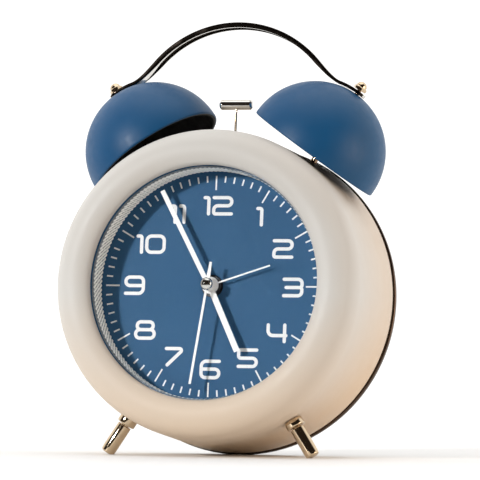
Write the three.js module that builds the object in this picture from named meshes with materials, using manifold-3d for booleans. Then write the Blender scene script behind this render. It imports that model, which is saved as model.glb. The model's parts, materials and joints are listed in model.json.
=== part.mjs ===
// Twin-bell alarm clock: a leaning drum on two front feet, two struck bells, a carrying strap,
// a quartz movement behind the dial and a motor that swings the hammer.
//
// Clock frame, in millimetres: origin at the centre of the dial's front face, X to the right,
// Y from the dial to the back, Z up the dial. The whole clock leans back on its feet, and the
// finished group stands on Z = 0 with its origin below the middle of its box.

import * as THREE from 'three';
import { mergeVertices } from 'three/addons/utils/BufferGeometryUtils.js';
import Module from 'manifold-3d';

const wasm = await Module();
wasm.setup();

// ---- Driving dimensions, in millimetres and degrees ----

const LEAN = 5.5;                 // how far the clock leans back on its feet

// Fits, as gaps on each side
const SEAT = 0.3;                 // faces that rest on each other
const PRESS = 0.05;               // a piece pressed on its shaft
const RUN = 0.1;                  // a piece that turns on or in another
const SLIDE = 0.3;                // a piece that slides
const ROOTED = 0.2;               // how far a shaft is sunk in the piece that it is part of

// Drum
const NOSE_RADIUS = 60;           // widest circle of the rounded front
const NOSE_DEPTH = -3.9;          // where that circle lies
const NOSE_PULL = 17.1;           // handles of the curve from the lip to the widest circle
const LIP_PULL = 5.3;
const LIP_FLARE = 0.2;
const NOSE_PULL_INSIDE = 11;
const LIP_PULL_INSIDE = 5;
const WALL_FLARE = 0.9;           // how much the drum wall widens to the rear
const SHELL_REAR = 43;
const SHELL_WALL = 1.8;
const LIP_RADIUS = 45.2;          // opening over the dial
const LIP_FRONT = -13.2;
const LIP_THICKNESS = 0.7;
const LENS_THICKNESS = 1.2;
const BEZEL_WALL = 1.6;           // sleeve behind the lip that holds lens and ring
const RING_INNER = 44.3;          // chapter ring around the dial
const DIAL_RADIUS = 47.6;
const DIAL_THICKNESS = 0.8;

// Back
const BACK_INSET = 1.1;           // cover's edge inside the drum's
const BACK_THICKNESS = 2.2;
const RIM_PROUD = 0.4;            // ring behind the cover, past the drum wall
const RIM_WIDTH = 4;
const RIM_DEPTH = 2.8;
const HEEL_FLAT = 0.35;           // how deep the ring is flattened where it stands
const SCREW_INSET = 6.7;          // screws inside the drum's rear edge
const SCREW_SHANK = 1.3;
const SCREW_HEAD = 2.4;
const SCREW_HEAD_HEIGHT = 1.4;
const SCREW_SEAT = 1.2;           // depth of the recess for the head
const SCREW_SLOT = 0.3;           // half the width of the cross in the head
const SCREW_LENGTH = 10;
const BOSS_LENGTH = 14;

// Feet
const FOOT_ANGLE = 32.7;          // from straight down, on each side
const FOOT_DEPTH = 5.5;
const FOOT_LIFT = 0.8;            // middle of the tip above the table, before it is flattened
const FOOT_RADIUS = 2.8;
const FOOT_STUD = 1.5;
const FOOT_STUD_LENGTH = 6;       // through the drum wall
const COLLAR_RADIUS = 3.65;
const COLLAR_HEIGHT = 3.3;

// Bells
const BELL_TILT = 35.26;
const BELL_Y = 23.4;
const BELL_STANDOFF = 2.95;       // drum's widest circle to the plane of the rim
const BELL_GAP = 2.62;            // end of the hammer's head to the nearest part of the rim
const BELL_RADIUS = 27.59;        // outside of the dome
const BELL_SKIRT = 1.25;          // height of the dome's centre above the rim
const BELL_LIP = 0.82;            // how far the rim turns in
const BELL_WALL = 1.1;
const POST_RADIUS = 1.3;
const POST_DEPTH = 7;             // how far the post reaches inside the drum
const POST_FLANGE = 2.3;
const POST_FLANGE_HEIGHT = 1.4;
const STUD_RADIUS = 0.9;          // top of the post, through bell and strap
const NUT_RADIUS = 2.4;
const NUT_HEX_HEIGHT = 1.5;
const NUT_OVERLAP = 0.5;          // how far the nut's dome is sunk in its hexagon

// Carrying strap
const STRAP_WIDTH = 6.8;
const STRAP_THICKNESS = 1.3;
const STRAP_RISE = 27.8;          // middle of the strap at the top of the arch, above the bells
const STRAP_ARCH_INSET = 4.7;     // radius of the arch, less than the reach of the bells' crowns
const STRAP_EASE = 4;             // handles of the curve from the arch to the bells
const STRAP_FLANK = 46;           // slope at the foot of the arch
const STRAP_END = 7;              // degrees that the strap passes beyond the post
const STRAP_LIFT = 15;            // degrees before the post at which it leaves the bell

// Hammer
const HAMMER_Y = 23.1;
const PIVOT_INSET = 29;           // pivot inside the widest circle
const HEAD_RISE = 14.3;           // head above it
const HEAD_LENGTH = 13.2;
const HEAD_RADIUS = 2.1;
const HEAD_CHAMFER = 0.7;
const ROD_RADIUS = 0.45;
const LEVER_THICKNESS = 1.2;
const LEVER_WIDTH = 6;
const LEVER_INSET = 8;            // top of the lever inside the widest circle
const SOCKET_HALF = 1.1;           // square socket that holds the rod
const SOCKET_DEPTH = 4.5;
const SOCKET_FLOOR = 0.5;
const HAMMER_SWING = 5;           // each way from upright
const CRANK_ARM = 12;             // pivot to crank axis
const CRANK_PIN_RADIUS = 0.5;
const CRANK_PIN_PLAY = 0.4;
const CRANK_TEETH = 24;
const MOTOR_TEETH = 8;
const CRANK_MODULE = 0.6;
const CRANK_FACE = 0.9;
const BRACKET_THICKNESS = 1.2;
const BRACKET_FLANGE = 4.5;       // ear behind the post
const PIVOT_RADIUS = 1;
const PIVOT_LIP = 0.8;            // how far the pivot's head stands out, and its thickness
const MOTOR_RADIUS = 7.6;
const MOTOR_LENGTH = 13;
const MOTOR_SHAFT = 0.8;
const MOTOR_SHAFT_DEPTH = 4;      // how far the shaft reaches into the can

// Movement: plates, and the layers that the wheels turn in, front to back
const PLATE_INSET = 8;            // front plate inside the widest circle
const PLATE_THICKNESS = 2;
const CASE_HALF = 27;
const CASE_WALL = 1.4;
const CASE_REAR = 19;
const MIDDLE_Y = 8.1;
const MIDDLE_THICKNESS = 1;
const BUSH_RADIUS = 4;
const BUSH_FRONT = -1.2;
const WHEEL_FACE = 0.8;
const ALARM_LAYER = 3.6;
const HOUR_LAYER = 5.1;
const MOTION_LAYER = 6.6;
const CENTRE_LAYER = 9.6;
const THIRD_LAYER = 10.9;
const SECOND_LAYER = 12.2;
const STEP_LAYER = 13.5;
const MAGNET_LAYER = 14.7;
const MAGNET_DEPTH = 1.6;
const MAGNET_RADIUS = 2.6;

// Movement: arbors, nested from the second hand outwards
const ARBOR = 0.6;
const PIPE_WALL = 0.55;
const SHAFT = 1;                  // setting shafts behind the knobs

// Movement: trains
const SETTING_DISTANCE = 10;      // hands' axis to each setting shaft
const MINUTE_TEETH = 8;
const MOTION_TEETH = 24;
const MOTION_PINION_TEETH = 8;
const HOUR_TEETH = 32;
const ALARM_PINION_TEETH = 10;
const ALARM_TEETH = 30;
const TRAIN_DISTANCE = 8.8;       // hands' axis to the third wheel
const SECOND_PINION_TEETH = 6;
const THIRD_TEETH = 45;
const THIRD_PINION_TEETH = 6;
const CENTRE_TEETH = 48;
const STEP_DISTANCE = 8.9;        // hands' axis to the step wheel
const STEP_PINION_TEETH = 6;
const SECOND_TEETH = 36;
const ROTOR_DISTANCE = 5.4;       // step wheel to the rotor
const ROTOR_PINION_TEETH = 6;
const STEP_TEETH = 30;
const ROTOR_BEARING = 250;        // direction of the rotor from the step wheel
const STATOR_THICKNESS = 0.8;
const STATOR_HALF_HEIGHT = 4.1;
const STATOR_HALF_WIDTH = 14;
const STATOR_LEG = 4;
const COIL_RADIUS = 3;
const BOARD_THICKNESS = 1;

// Hands: length, width, hub radius, and the angle on the dial, clockwise from twelve
const HAND_THICKNESS = 0.4;
const HANDS = {
  alarm: { length: 24.7, width: 0.6, tail: 0, hub: 3.3, angle: 71.7, front: -2.9 },
  hour: { length: 28.1, width: 2.3, tail: 0, hub: 3, angle: 154.4, front: -4.2 },
  minute: { length: 41.2, width: 1.8, tail: 0, hub: 2.5, angle: 331.2, front: -6 },
  second: { length: 38.8, width: 0.9, tail: 8.6, hub: 2.1, angle: 187.8, front: -7.2 },
};
const CAP_RADIUS = 2.5;
const CAP_HEIGHT = 2.2;

// Knobs and switch on the back
const KNOB_RADIUS = 7.6;
const KNOB_DEPTH = 7;
const KNOB_RIBS = 20;
const KNOB_RIB_DEPTH = 0.5;
const SWITCH_Z = 24;
const SWITCH_TRAVEL = 5;
const SWITCH_WIDTH = 5;
const SWITCH_HEIGHT = 4;
const SWITCH_STEM = 2.6;

// Battery compartment
const CELL_RADIUS = 7.25;
const CELL_LENGTH = 50.5;
const CELL_SPACE = 0.9;           // between two cells
const CELL_GAP = 0.4;
const CELL_TIP_RADIUS = 2.7;
const CELL_TIP_LENGTH = 1;
const SPRING_LENGTH = 4;
const SPRING_RADIUS = 3.4;
const SPRING_WIRE = 0.4;
const SPRING_TURNS = 3;
const CONTACT_THICKNESS = 0.4;
const TUB_TOP = -14;
const TUB_WALL = 1.4;
const DOOR_THICKNESS = 1.6;
const DOOR_LAP = 2;               // how far the door overlaps its opening
const DOOR_LATCH = 8;

// Facets round a circle
const FINE = 36;
const MEDIUM = 24;
const COARSE = 14;
const SMALL = 8;

// ---- Sizes that follow from them ----

const REAR_RADIUS = NOSE_RADIUS + WALL_FLARE;
const BACK_RADIUS = REAR_RADIUS - BACK_INSET;
const RIM_RADIUS = REAR_RADIUS + RIM_PROUD;
const RIM_INNER = RIM_RADIUS - RIM_WIDTH;
const SCREW_CIRCLE = REAR_RADIUS - SCREW_INSET;
const PLATE_RADIUS = NOSE_RADIUS - PLATE_INSET;
const POST_FOOT = NOSE_RADIUS - POST_DEPTH;
const PIVOT_Z = NOSE_RADIUS - PIVOT_INSET;
const HEAD_Z = NOSE_RADIUS + HEAD_RISE;
const LEVER_TOP = NOSE_RADIUS - LEVER_INSET;
const LEVER_REAR = HAMMER_Y + LEVER_THICKNESS / 2;
const BOSS_RADIUS = REAR_RADIUS - SHELL_WALL / 2 - SCREW_CIRCLE;
const LENS_FRONT = LIP_FRONT + LIP_THICKNESS + SEAT;
const LENS_REAR = LENS_FRONT + LENS_THICKNESS;
const SLEEVE_INNER = LIP_RADIUS + 1;
const RING_OUTER = SLEEVE_INNER - SEAT;
const BACK_FRONT = SHELL_REAR + SEAT;
const BACK_REAR = BACK_FRONT + BACK_THICKNESS;
const RIM_FRONT = BACK_REAR + SEAT;
const RIM_REAR = RIM_FRONT + RIM_DEPTH;
const PLATE_FRONT = DIAL_THICKNESS + SEAT;
const PLATE_REAR = PLATE_FRONT + PLATE_THICKNESS;
const CASE_INNER_REAR = CASE_REAR - CASE_WALL;
const MINUTE_BORE = ARBOR + RUN;
const MINUTE_PIPE = MINUTE_BORE + PIPE_WALL;
const HOUR_BORE = MINUTE_PIPE + RUN;
const HOUR_PIPE = HOUR_BORE + PIPE_WALL;
const ALARM_BORE = HOUR_PIPE + RUN;
const ALARM_PIPE = ALARM_BORE + PIPE_WALL;
const STAND_LEVEL = -(RIM_RADIUS * cos(LEAN) + RIM_REAR * sin(LEAN)) + HEEL_FLAT;
const FOOT_FALL = -STAND_LEVEL - FOOT_LIFT - FOOT_DEPTH * sin(LEAN);
const FOOT_REACH = FOOT_FALL / (cos(FOOT_ANGLE) * cos(LEAN));
const CRANK_Z = PIVOT_Z + CRANK_ARM;
const CRANK_THROW = CRANK_ARM * sin(HAMMER_SWING);
const MOTOR_X = CRANK_MODULE * (CRANK_TEETH + MOTOR_TEETH) / 2;
const CRANK_REAR = HAMMER_Y - SOCKET_HALF - SLIDE;
const CRANK_FRONT = CRANK_REAR - CRANK_FACE;
const BRACKET_REAR = CRANK_FRONT - SLIDE;
const BRACKET_FRONT = BRACKET_REAR - BRACKET_THICKNESS;
const MOTOR_REAR = BRACKET_FRONT - SEAT;
const BELL_X = HEAD_LENGTH / 2 + BELL_GAP + BELL_RADIUS * cos(BELL_TILT);
const BELL_Z = (NOSE_RADIUS + BELL_STANDOFF - BELL_X * sin(BELL_TILT)) / cos(BELL_TILT);
const BELL_APEX = BELL_SKIRT + BELL_RADIUS;
const APEX_X = BELL_X + BELL_APEX * sin(BELL_TILT);
const APEX_Z = BELL_Z + BELL_APEX * cos(BELL_TILT);
const POST_TILT = THREE.MathUtils.radToDeg(Math.atan2(APEX_X, APEX_Z));
const POST_REACH = Math.hypot(APEX_X, APEX_Z);
const STRAP_RADIUS = BELL_RADIUS + SEAT + STRAP_THICKNESS / 2;
const STRAP_TOP = APEX_Z + STRAP_RISE;
const STRAP_ARCH_RADIUS = APEX_X - STRAP_ARCH_INSET;
const NUT_SEAT = POST_REACH + SEAT + STRAP_THICKNESS + SEAT;
const NUT_TOP = NUT_SEAT + NUT_HEX_HEIGHT + NUT_RADIUS;
const THIRD_Z = TRAIN_DISTANCE;
const STEP_Z = -STEP_DISTANCE;
const ROTOR_X = ROTOR_DISTANCE * cos(ROTOR_BEARING);
const ROTOR_Z = STEP_Z + ROTOR_DISTANCE * sin(ROTOR_BEARING);
const STATOR_BOTTOM = -(CASE_HALF - CASE_WALL - SEAT);
const COIL_Z = STATOR_BOTTOM + COIL_RADIUS;
const COIL_Y = CASE_INNER_REAR - SEAT - COIL_RADIUS;
const STATOR_FRONT = MAGNET_LAYER + (MAGNET_DEPTH - STATOR_THICKNESS) / 2;
const DOOR_REAR = BACK_REAR;
const DOOR_FRONT = DOOR_REAR - DOOR_THICKNESS;
const CELL_Y = DOOR_FRONT - CELL_GAP - CELL_RADIUS;
const TUB_FLOOR = CELL_Y - CELL_RADIUS - CELL_GAP;
const CELL_PITCH = 2 * CELL_RADIUS + CELL_SPACE;
const TUB_BOTTOM = TUB_TOP - CELL_PITCH - 2 * (CELL_RADIUS + CELL_GAP);
const UPPER_CELL_Z = TUB_TOP - CELL_GAP - CELL_RADIUS;
const LOWER_CELL_Z = UPPER_CELL_Z - CELL_PITCH;
const CELL_STACK = CELL_LENGTH + CELL_TIP_LENGTH + CONTACT_THICKNESS + SPRING_LENGTH + 4 * SEAT;
const TUB_HALF = CELL_STACK / 2;
const DOOR_HALF = TUB_HALF + DOOR_LAP;
const DOOR_TOP = TUB_TOP + DOOR_LAP;
const DOOR_BOTTOM = TUB_BOTTOM - DOOR_LAP;

// ---- Geometry helpers ----

function rad(degrees) {
  return THREE.MathUtils.degToRad(degrees);
}

function sin(degrees) {
  return Math.sin(rad(degrees));
}

function cos(degrees) {
  return Math.cos(rad(degrees));
}

// A closed geometry with shared corners, no slivers of zero area, and its faces turned out.
function closed(geometry) {
  const bare = geometry.index ? geometry.toNonIndexed() : geometry;
  bare.deleteAttribute('normal');
  bare.deleteAttribute('uv');
  const merged = mergeVertices(bare, 1e-4);
  const corners = merged.index.array;
  const kept = [];
  for (let i = 0; i < corners.length; i += 3) {
    const [a, b, c] = [corners[i], corners[i + 1], corners[i + 2]];
    if (a !== b && b !== c && c !== a) kept.push(a, b, c);
  }
  merged.setIndex(kept);
  if (volume(merged) < 0) merged.setIndex(kept.reverse());
  return merged;
}

function volume(geometry) {
  const at = geometry.attributes.position;
  const corners = geometry.index.array;
  const [a, b, c] = [new THREE.Vector3(), new THREE.Vector3(), new THREE.Vector3()];
  let sum = 0;
  for (let i = 0; i < corners.length; i += 3) {
    a.fromBufferAttribute(at, corners[i]);
    b.fromBufferAttribute(at, corners[i + 1]);
    c.fromBufferAttribute(at, corners[i + 2]);
    sum += a.dot(b.cross(c)) / 6;
  }
  return sum;
}

function solid(geometry) {
  const shape = closed(geometry);
  return new wasm.Manifold(new wasm.Mesh({
    numProp: 3,
    vertProperties: new Float32Array(shape.attributes.position.array),
    triVerts: new Uint32Array(shape.index.array),
  }));
}

function geometryOf(manifold) {
  const mesh = manifold.getMesh();
  const geometry = new THREE.BufferGeometry();
  geometry.setAttribute('position', new THREE.BufferAttribute(mesh.vertProperties, 3));
  geometry.setIndex(new THREE.BufferAttribute(mesh.triVerts, 1));
  return geometry;
}

function join(...geometries) {
  const [first, ...rest] = geometries.map(solid);
  return geometryOf(rest.reduce((sum, next) => sum.add(next), first));
}

function cut(geometry, ...tools) {
  return geometryOf(tools.map(solid).reduce((left, tool) => left.subtract(tool), solid(geometry)));
}

// Turned about the Y axis from a profile of [radius, depth] points.
function turned(profile, facets = FINE) {
  const points = profile.map(([radius, depth]) => new THREE.Vector2(radius, depth));
  return closed(new THREE.LatheGeometry(points, facets));
}

function rod(radius, front, rear, facets = COARSE) {
  const geometry = new THREE.CylinderGeometry(radius, radius, rear - front, facets);
  return closed(geometry.translate(0, (front + rear) / 2, 0));
}

function tube(outer, inner, front, rear, facets = COARSE) {
  return turned([[inner, front], [outer, front], [outer, rear], [inner, rear], [inner, front]], facets);
}

function block(low, high) {
  const size = high.map((value, i) => value - low[i]);
  const middle = high.map((value, i) => (value + low[i]) / 2);
  return closed(new THREE.BoxGeometry(...size).translate(...middle));
}

// A flat plate in the dial's plane: shape X is the clock's X and shape Y its Z.
function plate(shape, front, thickness, curveSegments = 8) {
  const geometry = new THREE.ExtrudeGeometry(shape, {
    depth: thickness,
    bevelEnabled: false,
    curveSegments,
  });
  return closed(geometry.rotateX(Math.PI / 2).translate(0, front + thickness, 0));
}

function polygon(points) {
  return new THREE.Shape(points.map(([x, z]) => new THREE.Vector2(x, z)));
}

function hole(shape, x, z, radius) {
  shape.holes.push(new THREE.Path().absarc(x, z, radius, 0, 2 * Math.PI, true));
  return shape;
}

function circle(radius) {
  return new THREE.Shape().absarc(0, 0, radius, 0, 2 * Math.PI, false);
}

// A turned geometry stood up so that its axis is Z.
function upright(geometry) {
  return geometry.rotateX(Math.PI / 2);
}

// ---- Gears ----

const TOOTH_TIP = 0.11;           // half widths, as shares of the tooth pitch
const TOOTH_ROOT = 0.26;
const ADDENDUM = 0.85;            // heights, as shares of the module
const DEDENDUM = 1.05;

function moduleFor(distance, teethA, teethB) {
  return 2 * distance / (teethA + teethB);
}

// Phase of a gear that meshes with another, whose own phase is zero, in the given direction.
function meshPhase(teeth, otherTeeth, directionToOther) {
  const toothAtOther = (rad(directionToOther) + Math.PI) * otherTeeth / (2 * Math.PI);
  return rad(directionToOther) - (0.5 - toothAtOther) * 2 * Math.PI / teeth;
}

function gear(teeth, module, front, thickness, phase = 0, bore = 0) {
  const pitch = 2 * Math.PI / teeth;
  const tip = module * (teeth / 2 + ADDENDUM);
  const root = module * (teeth / 2 - DEDENDUM);
  const points = [];
  for (let tooth = 0; tooth < teeth; tooth += 1) {
    const middle = phase + tooth * pitch;
    const flanks = [[root, -TOOTH_ROOT], [tip, -TOOTH_TIP], [tip, TOOTH_TIP], [root, TOOTH_ROOT]];
    for (const [radius, share] of flanks) {
      const angle = middle + share * pitch;
      points.push([radius * Math.cos(angle), radius * Math.sin(angle)]);
    }
  }
  const shape = polygon(points);
  if (bore > 0) hole(shape, 0, 0, bore);
  return plate(shape, front, thickness, COARSE / 2);
}

// ---- Assembly ----

const FINISHES = {
  pearl: { color: 0xded9cf, roughness: 0.34, metalness: 0.25 },
  blueBell: { color: 0x3a6391, roughness: 0.45, metalness: 0.3 },
  blueDial: { color: 0x46689a, roughness: 0.8, metalness: 0 },
  white: { color: 0xf6f5f0, roughness: 0.6, metalness: 0 },
  chrome: { color: 0xd8d6d2, roughness: 0.12, metalness: 1 },
  steel: { color: 0xa8a8a6, roughness: 0.3, metalness: 1 },
  brass: { color: 0xc9a352, roughness: 0.3, metalness: 1 },
  copper: { color: 0xb06a3c, roughness: 0.35, metalness: 1 },
  black: { color: 0x17181a, roughness: 0.5, metalness: 0 },
  nylon: { color: 0xe8e6de, roughness: 0.55, metalness: 0 },
  glass: { color: 0xffffff, roughness: 0.03, metalness: 0 },
  board: { color: 0x1d5a38, roughness: 0.5, metalness: 0 },
  cell: { color: 0x2b2d30, roughness: 0.4, metalness: 0.4 },
};

const clock = new THREE.Group();
clock.rotation.x = -rad(LEAN);

function piece(name, geometry, finish, position = [0, 0, 0], parent = clock) {
  const mesh = new THREE.Mesh(geometry, new THREE.MeshStandardMaterial(FINISHES[finish]));
  mesh.name = name;
  mesh.position.set(...position);
  parent.add(mesh);
}

function grouped(frame) {
  const group = new THREE.Group();
  group.applyMatrix4(frame);
  clock.add(group);
  return group;
}

function sides(make) {
  make('left', -1);
  make('right', 1);
}

// A slab that reaches down from the table's surface, in the clock frame.
function table() {
  const [width, depth] = [400, 100];
  const slab = new THREE.BoxGeometry(width, width, depth).translate(0, 0, STAND_LEVEL - depth / 2);
  return slab.rotateX(rad(LEAN));
}

// ---- Drum ----

function shellProfile() {
  const lip = new THREE.Vector2(LIP_RADIUS, LIP_FRONT);
  const widest = new THREE.Vector2(NOSE_RADIUS, NOSE_DEPTH);
  const nose = new THREE.CubicBezierCurve(
    lip,
    new THREE.Vector2(LIP_RADIUS + LIP_FLARE, LIP_FRONT - LIP_PULL),
    new THREE.Vector2(NOSE_RADIUS, NOSE_DEPTH - NOSE_PULL),
    widest,
  );
  const sleeveOuter = SLEEVE_INNER + BEZEL_WALL;
  const inside = new THREE.CubicBezierCurve(
    new THREE.Vector2(NOSE_RADIUS - SHELL_WALL, NOSE_DEPTH),
    new THREE.Vector2(NOSE_RADIUS - SHELL_WALL, NOSE_DEPTH - NOSE_PULL_INSIDE),
    new THREE.Vector2(sleeveOuter, LIP_FRONT - LIP_PULL_INSIDE),
    new THREE.Vector2(sleeveOuter, LENS_REAR),
  );
  return [
    ...nose.getPoints(8).map((p) => [p.x, p.y]),
    [REAR_RADIUS, SHELL_REAR],
    [REAR_RADIUS - SHELL_WALL, SHELL_REAR],
    ...inside.getPoints(3).map((p) => [p.x, p.y]),
    [sleeveOuter, -SEAT],
    [SLEEVE_INNER, -SEAT],
    [SLEEVE_INNER, LIP_FRONT + LIP_THICKNESS],
    [LIP_RADIUS, LIP_FRONT + LIP_THICKNESS],
    [LIP_RADIUS, LIP_FRONT],
  ];
}

function screwPlaces() {
  return [45, 135, 225, 315].map((angle) => [SCREW_CIRCLE * cos(angle), SCREW_CIRCLE * sin(angle)]);
}

function bellFrame(side) {
  const turn = new THREE.Matrix4().makeRotationY(side * rad(BELL_TILT));
  return turn.setPosition(side * BELL_X, BELL_Y, BELL_Z);
}

// The posts stand square on the drum, so they tilt a little less than the bells that they carry.
function postFrame(side) {
  return new THREE.Matrix4().makeRotationY(side * rad(POST_TILT)).setPosition(0, BELL_Y, 0);
}

function footFrame(side) {
  return new THREE.Matrix4().makeRotationY(-side * rad(FOOT_ANGLE)).setPosition(0, FOOT_DEPTH, 0);
}

function frontShell() {
  const bosses = screwPlaces().map(([x, z]) => (
    rod(BOSS_RADIUS, SHELL_REAR - BOSS_LENGTH, SHELL_REAR).translate(x, 0, z)
  ));
  const screwHoles = screwPlaces().map(([x, z]) => (
    rod(SCREW_SHANK + PRESS, SHELL_REAR - SCREW_LENGTH - 1, SHELL_REAR + 1, SMALL).translate(x, 0, z)
  ));
  const postHoles = [-1, 1].map((side) => (
    upright(rod(POST_RADIUS + SEAT, POST_FOOT, NOSE_RADIUS + 5)).applyMatrix4(postFrame(side))
  ));
  const studHoles = [-1, 1].map((side) => (
    upright(rod(FOOT_STUD + SEAT, -NOSE_RADIUS - 5, -NOSE_RADIUS + 5)).applyMatrix4(footFrame(side))
  ));
  const slotHalf = (NOSE_RADIUS - PIVOT_Z) * Math.tan(rad(HAMMER_SWING)) + ROD_RADIUS + 2 * SLIDE;
  const slot = block(
    [-slotHalf, HAMMER_Y - ROD_RADIUS - 2 * SLIDE, PIVOT_Z],
    [slotHalf, HAMMER_Y + ROD_RADIUS + 2 * SLIDE, NOSE_RADIUS + 5],
  );
  const drum = join(turned(shellProfile()), ...bosses);
  return cut(drum, ...screwHoles, ...postHoles, ...studHoles, slot);
}

function lens() {
  return rod(RING_OUTER, LENS_FRONT, LENS_REAR, FINE);
}

function chapterRing() {
  return tube(RING_OUTER, RING_INNER, LENS_REAR + SEAT, -SEAT, FINE);
}

function dialPlate() {
  return plate(hole(circle(DIAL_RADIUS), 0, 0, BUSH_RADIUS + SEAT), 0, DIAL_THICKNESS, FINE / 2);
}

function rearRing() {
  const soft = RIM_DEPTH * 0.35;
  const ring = turned([
    [RIM_INNER, RIM_FRONT],
    [RIM_RADIUS - 0.3, RIM_FRONT],
    [RIM_RADIUS, RIM_FRONT + soft],
    [RIM_RADIUS, RIM_REAR - soft],
    [RIM_RADIUS - soft, RIM_REAR],
    [RIM_INNER + soft / 2, RIM_REAR],
    [RIM_INNER, RIM_REAR - soft / 2],
    [RIM_INNER, RIM_FRONT],
  ]);
  return cut(ring, table());
}

// ---- Back cover, with its battery tub, shaft holes, switch slot and screw holes ----

function backCover() {
  const disc = rod(BACK_RADIUS, BACK_FRONT, BACK_REAR, FINE);
  const tubOutside = block(
    [-TUB_HALF - TUB_WALL, TUB_FLOOR - TUB_WALL, TUB_BOTTOM - TUB_WALL],
    [TUB_HALF + TUB_WALL, BACK_FRONT + 1, TUB_TOP + TUB_WALL],
  );
  const tubInside = block([-TUB_HALF, TUB_FLOOR, TUB_BOTTOM], [TUB_HALF, BACK_REAR + 1, TUB_TOP]);
  const doorRecess = block(
    [-DOOR_HALF - SLIDE, DOOR_FRONT - SEAT, DOOR_BOTTOM - SLIDE],
    [DOOR_HALF + SLIDE, BACK_REAR + 1, DOOR_TOP + SLIDE],
  );
  const latchNotch = block(
    [-DOOR_LATCH / 2 - SLIDE, DOOR_FRONT - SEAT, DOOR_TOP],
    [DOOR_LATCH / 2 + SLIDE, BACK_REAR + 1, DOOR_TOP + 4],
  );
  const shaftHoles = [-1, 1].map((side) => (
    rod(SHAFT + SLIDE, BACK_FRONT - 1, BACK_REAR + 1).translate(side * SETTING_DISTANCE, 0, 0)
  ));
  const screwHoles = screwPlaces().flatMap(([x, z]) => [
    rod(SCREW_SHANK + SEAT, BACK_FRONT - 1, BACK_REAR + 1, SMALL).translate(x, 0, z),
    rod(SCREW_HEAD + SEAT, BACK_REAR - SCREW_SEAT, BACK_REAR + 1).translate(x, 0, z),
  ]);
  const switchSlot = block(
    [-SWITCH_STEM / 2 - SLIDE, BACK_FRONT - 1, SWITCH_Z - SWITCH_STEM / 2 - SLIDE],
    [SWITCH_TRAVEL + SWITCH_STEM / 2 + SLIDE, BACK_REAR + 1, SWITCH_Z + SWITCH_STEM / 2 + SLIDE],
  );
  const body = join(disc, tubOutside);
  return cut(body, tubInside, doorRecess, latchNotch, ...shaftHoles, ...screwHoles, switchSlot);
}

function backScrew() {
  const seat = BACK_REAR - SCREW_SEAT + SEAT;
  const head = rod(SCREW_HEAD, seat, seat + SCREW_HEAD_HEIGHT);
  const shank = rod(SCREW_SHANK, SHELL_REAR - SCREW_LENGTH, seat + 0.5, SMALL);
  const crossHalf = SCREW_HEAD * 0.6;
  const floor = seat + SCREW_HEAD_HEIGHT / 2;
  const bars = [
    block([-crossHalf, floor, -SCREW_SLOT], [crossHalf, seat + 2, SCREW_SLOT]),
    block([-SCREW_SLOT, floor, -crossHalf], [SCREW_SLOT, seat + 2, crossHalf]),
  ];
  return cut(join(head, shank), ...bars);
}

function batteryDoor() {
  const panel = block([-DOOR_HALF, DOOR_FRONT, DOOR_BOTTOM], [DOOR_HALF, DOOR_REAR, DOOR_TOP]);
  const latch = block(
    [-DOOR_LATCH / 2, DOOR_FRONT, DOOR_TOP - 1],
    [DOOR_LATCH / 2, DOOR_REAR, DOOR_TOP + 3],
  );
  return join(panel, latch);
}

function cell() {
  const half = CELL_LENGTH / 2;
  const geometry = turned([
    [0, -half],
    [CELL_RADIUS - 0.6, -half],
    [CELL_RADIUS, -half + 0.6],
    [CELL_RADIUS, half - 0.6],
    [CELL_RADIUS - 0.6, half],
    [CELL_TIP_RADIUS, half],
    [CELL_TIP_RADIUS, half + CELL_TIP_LENGTH],
    [0, half + CELL_TIP_LENGTH],
  ], COARSE);
  return geometry.rotateZ(-Math.PI / 2);
}

class Helix extends THREE.Curve {
  getPoint(t, target = new THREE.Vector3()) {
    const angle = 2 * Math.PI * SPRING_TURNS * t;
    const radius = SPRING_RADIUS * (1 - 0.4 * t);
    const reach = SPRING_LENGTH - 2 * SPRING_WIRE;
    return target.set(SPRING_WIRE + reach * t, radius * Math.cos(angle), radius * Math.sin(angle));
  }
}

function batterySpring() {
  const wire = new THREE.Shape().absarc(0, 0, SPRING_WIRE, 0, 2 * Math.PI, false);
  return closed(new THREE.ExtrudeGeometry(wire, {
    steps: SPRING_TURNS * 8,
    curveSegments: 3,
    extrudePath: new Helix(),
  }));
}

function contactStrip() {
  const right = TUB_HALF - SEAT;
  return block(
    [right - CONTACT_THICKNESS, CELL_Y - 4, LOWER_CELL_Z - 4],
    [right, CELL_Y + 4, UPPER_CELL_Z + 4],
  );
}

// ---- Feet ----

function foot(side) {
  const shoulder = NOSE_RADIUS + SEAT + COLLAR_HEIGHT + SEAT;
  const dome = 0.9;
  const geometry = upright(turned([
    [0, -FOOT_REACH],
    [FOOT_RADIUS - 1.5 * dome, -FOOT_REACH],
    [FOOT_RADIUS - dome / 2, -FOOT_REACH + dome / 3],
    [FOOT_RADIUS, -FOOT_REACH + dome],
    [FOOT_RADIUS, -shoulder],
    [FOOT_STUD, -shoulder],
    [FOOT_STUD, -NOSE_RADIUS + FOOT_STUD_LENGTH],
    [0, -NOSE_RADIUS + FOOT_STUD_LENGTH],
  ], COARSE));
  return cut(geometry.applyMatrix4(footFrame(side)), table());
}

function footCollar(side) {
  const inner = FOOT_STUD + SEAT;
  const base = -NOSE_RADIUS - SEAT - 0.15;
  const rim = 0.4;
  const geometry = upright(turned([
    [inner, base],
    [COLLAR_RADIUS, base],
    [COLLAR_RADIUS, base - COLLAR_HEIGHT + SEAT + rim],
    [COLLAR_RADIUS - rim, base - COLLAR_HEIGHT + SEAT],
    [inner, base - COLLAR_HEIGHT + SEAT],
    [inner, base],
  ], COARSE));
  return geometry.applyMatrix4(footFrame(side));
}

// ---- Bells, in the frame of the rim, and their posts and nuts, in the frame of the post ----

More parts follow.
